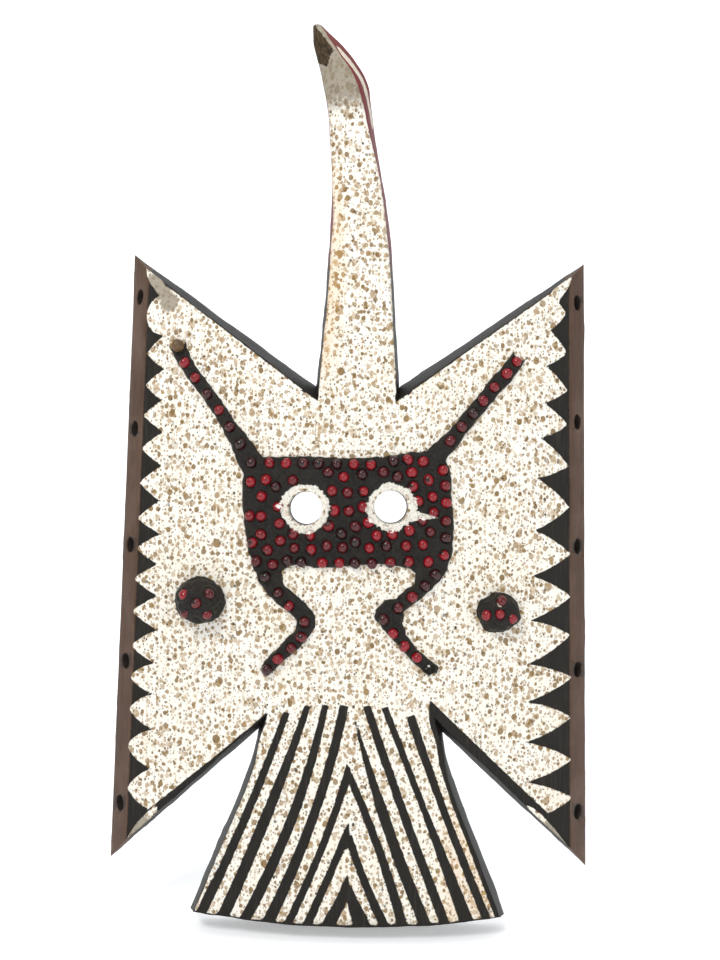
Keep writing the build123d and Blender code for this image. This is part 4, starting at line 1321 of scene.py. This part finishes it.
class MASK_OT_figure(bpy.types.Operator):
    """Lays the black wax figure: its panel, arms and legs"""

    bl_idname = "mask.figure"
    bl_label = "Wax figure"

    def execute(self, context):
        s = sizes()
        rows = [f"panel_seeds_row_{n}" for n in range(1, PANEL_SEED_ROWS + 1)]
        seeds = np.concatenate([seed_places(row, s["seed_radius"]) for row in rows])
        panel = wax_slab("face_panel_black_wax", PANEL_BROW, PANEL_JAW, PANEL_LEFT, PANEL_RIGHT, seeds, s)
        drill(panel, [((x, 0, z), (0, -1, 0), [(20, 13.7), (60, 13.7)]) for x, z in EYES])
        soften(panel, 60)
        place_piece(panel, "face_panel_wax", "black_wax")
        for side, line, half in (("left", LEFT_ARM, LEFT_ARM_HALF), ("right", RIGHT_ARM, RIGHT_ARM_HALF)):
            one, two = ribbon_edges(line, half)
            found = seed_places(f"{side}_arm_seeds", s["seed_radius"])
            arm = wax_slab(f"{side}_arm_black_wax", one, two, [one[0], two[0]],
                           rounded_end(one[-1], two[-1], -0.7), found, s)
            place_piece(arm, f"{side}_arm_wax", "black_wax")
        for side, one, two, bow in (("left", LEFT_LEG_OUTER, LEFT_LEG_INNER, 0.4),
                                    ("right", RIGHT_LEG_INNER, RIGHT_LEG_OUTER, 0.5)):
            found = seed_places(f"{side}_leg_seeds", s["seed_radius"])
            leg = wax_slab(f"{side}_leg_black_wax", one, two, [one[0], two[0]],
                           rounded_end(one[-1], two[-1], bow), found, s, sharp=True)
            place_piece(leg, f"{side}_leg_wax", "black_wax")
        return {"FINISHED"}


class MASK_OT_bosses(bpy.types.Operator):
    """Presses the two round bosses of black wax"""

    bl_idname = "mask.bosses"
    bl_label = "Bosses"

    def execute(self, context):
        s = sizes()
        for side, (place, size) in BOSSES.items():
            found = seed_places(f"{side}_boss_seeds", s["seed_radius"])
            boss = boss_shape(f"{side}_boss_black_wax", place, size, found, s, BOSS_BREADTH)
            place_piece(boss, f"{side}_boss_wax", "black_wax")
        return {"FINISHED"}


class MASK_OT_seeds(bpy.types.Operator):
    """Sets the red seeds, and the bare one at the end of the left arm"""

    bl_idname = "mask.seeds"
    bl_label = "Seeds"

    def execute(self, context):
        s = sizes()
        groups = [f"panel_seeds_row_{n}" for n in range(1, PANEL_SEED_ROWS + 1)]
        groups += [f"{side}_{limb}_seeds" for limb in ("arm", "leg", "boss") for side in ("left", "right")]
        for number, node in enumerate(groups):
            found = seed_places(node, s["seed_radius"])
            group = seed_group(f"{node}_red", found, s["seed_radius"], 100 + number)
            place_piece(group, node, "red_seed")
        found = seed_places("bare_end_seed", s["end_seed_radius"])
        bare = seed_group("bare_end_seed_brown", found, s["end_seed_radius"], 200, 0.2)
        place_piece(bare, "bare_end_seed", "bare_seed")
        return {"FINISHED"}


class MASK_OT_stage(bpy.types.Operator):
    """Lays the pale floor and its curved backdrop, hangs the soft lights and sets up the camera"""

    bl_idname = "mask.stage"
    bl_label = "Stage"

    def execute(self, context):
        scene = context.scene
        floor, reach, back, bend, top = FLOOR, 6000.0, 1500.0, 500.0, 4500.0
        turn = np.linspace(0, math.pi / 2, 17)
        profile = np.concatenate([[(-reach, floor)],
                                  np.stack([back - bend + bend * np.sin(turn),
                                            floor + bend * (1 - np.cos(turn))], -1), [(back, top)]])
        across = np.array((-reach, reach))
        points = np.stack([np.broadcast_to(across, (len(profile), 2)),
                           np.repeat(profile[:, :1], 2, 1), np.repeat(profile[:, 1:], 2, 1)], -1)
        mesh = bpy.data.meshes.new("backdrop")
        ids = np.arange(points.shape[0] * 2).reshape(-1, 2)
        mesh.from_pydata((points.reshape(-1, 3) / 1000).tolist(), [], quads(ids).tolist())
        mesh.polygons.foreach_set("use_smooth", np.ones(len(mesh.polygons), bool))
        mesh.materials.append(material("stage_paper"))
        sheet = bpy.data.objects.new("backdrop", mesh)
        scene.collection.objects.link(sheet)

        for name, place, size, power, tint in LIGHTS:
            lamp = bpy.data.lights.new(name, "AREA")
            lamp.shape, lamp.size, lamp.energy, lamp.color = "DISK", size, power, tint
            holder = bpy.data.objects.new(name, lamp)
            scene.collection.objects.link(holder)
            aim = Matrix.Translation((0, 0, -0.07)).translation - Matrix.Translation(place).translation
            holder.location = place
            holder.rotation_mode = "QUATERNION"
            holder.rotation_quaternion = aim.to_track_quat("-Z", "Y")
        world = bpy.data.worlds.new("room")
        scene.world = world
        world.use_nodes = True
        room = world.node_tree.nodes["Background"].inputs
        room["Color"].default_value = (0.97, 0.985, 1.0, 1.0)
        room["Strength"].default_value = ROOM_LIGHT

        lens = bpy.data.cameras.new("camera")
        lens.sensor_fit, lens.sensor_height, lens.sensor_width = "VERTICAL", 24.0, 24.0
        lens.lens = 24.0 / 2 / (HALF_VIEW / -CAMERA_PLACE[1])
        lens.clip_start, lens.clip_end = 0.01, 50
        camera = bpy.data.objects.new("camera", lens)
        scene.collection.objects.link(camera)
        roll = Matrix.Rotation(-CAMERA_ROLL, 4, "Y")
        level = Matrix.Rotation(math.pi / 2, 4, "X")
        camera.matrix_world = Matrix.Translation(CAMERA_PLACE) @ roll @ level
        scene.camera = camera
        scene.view_settings.view_transform = "Standard"
        scene.view_settings.look = "None"
        return {"FINISHED"}


class MASK_PT_panel(bpy.types.Panel):
    """Lists the mask's pieces and settings"""

    bl_label = "Plank mask"
    bl_idname = "MASK_PT_panel"
    bl_space_type = "VIEW_3D"
    bl_region_type = "UI"
    bl_category = "Mask"

    def draw(self, context):
        layout = self.layout
        for operator in OPERATORS:
            layout.operator(operator.bl_idname)
        for group in (context.scene.mask_sizes, context.scene.mask_colours):
            column = layout.column()
            for name in group.__annotations__:
                column.prop(group, name)


OPERATORS = (MASK_OT_board, MASK_OT_figure, MASK_OT_bosses, MASK_OT_seeds, MASK_OT_stage)
CLASSES = (MaskSizes, MaskColours, *OPERATORS, MASK_PT_panel)


def register():
    for cls in CLASSES:
        bpy.utils.register_class(cls)
    bpy.types.Scene.mask_sizes = PointerProperty(type=MaskSizes)
    bpy.types.Scene.mask_colours = PointerProperty(type=MaskColours)


def unregister():
    del bpy.types.Scene.mask_colours
    del bpy.types.Scene.mask_sizes
    for cls in reversed(CLASSES):
        bpy.utils.unregister_class(cls)


def main():
    """Builds every piece in order."""
    register()
    bpy.ops.mask.board()
    bpy.ops.mask.figure()
    bpy.ops.mask.bosses()
    bpy.ops.mask.seeds()
    bpy.ops.mask.stage()
    bpy.context.view_layer.update()


if __name__ == "__main__":
    main()
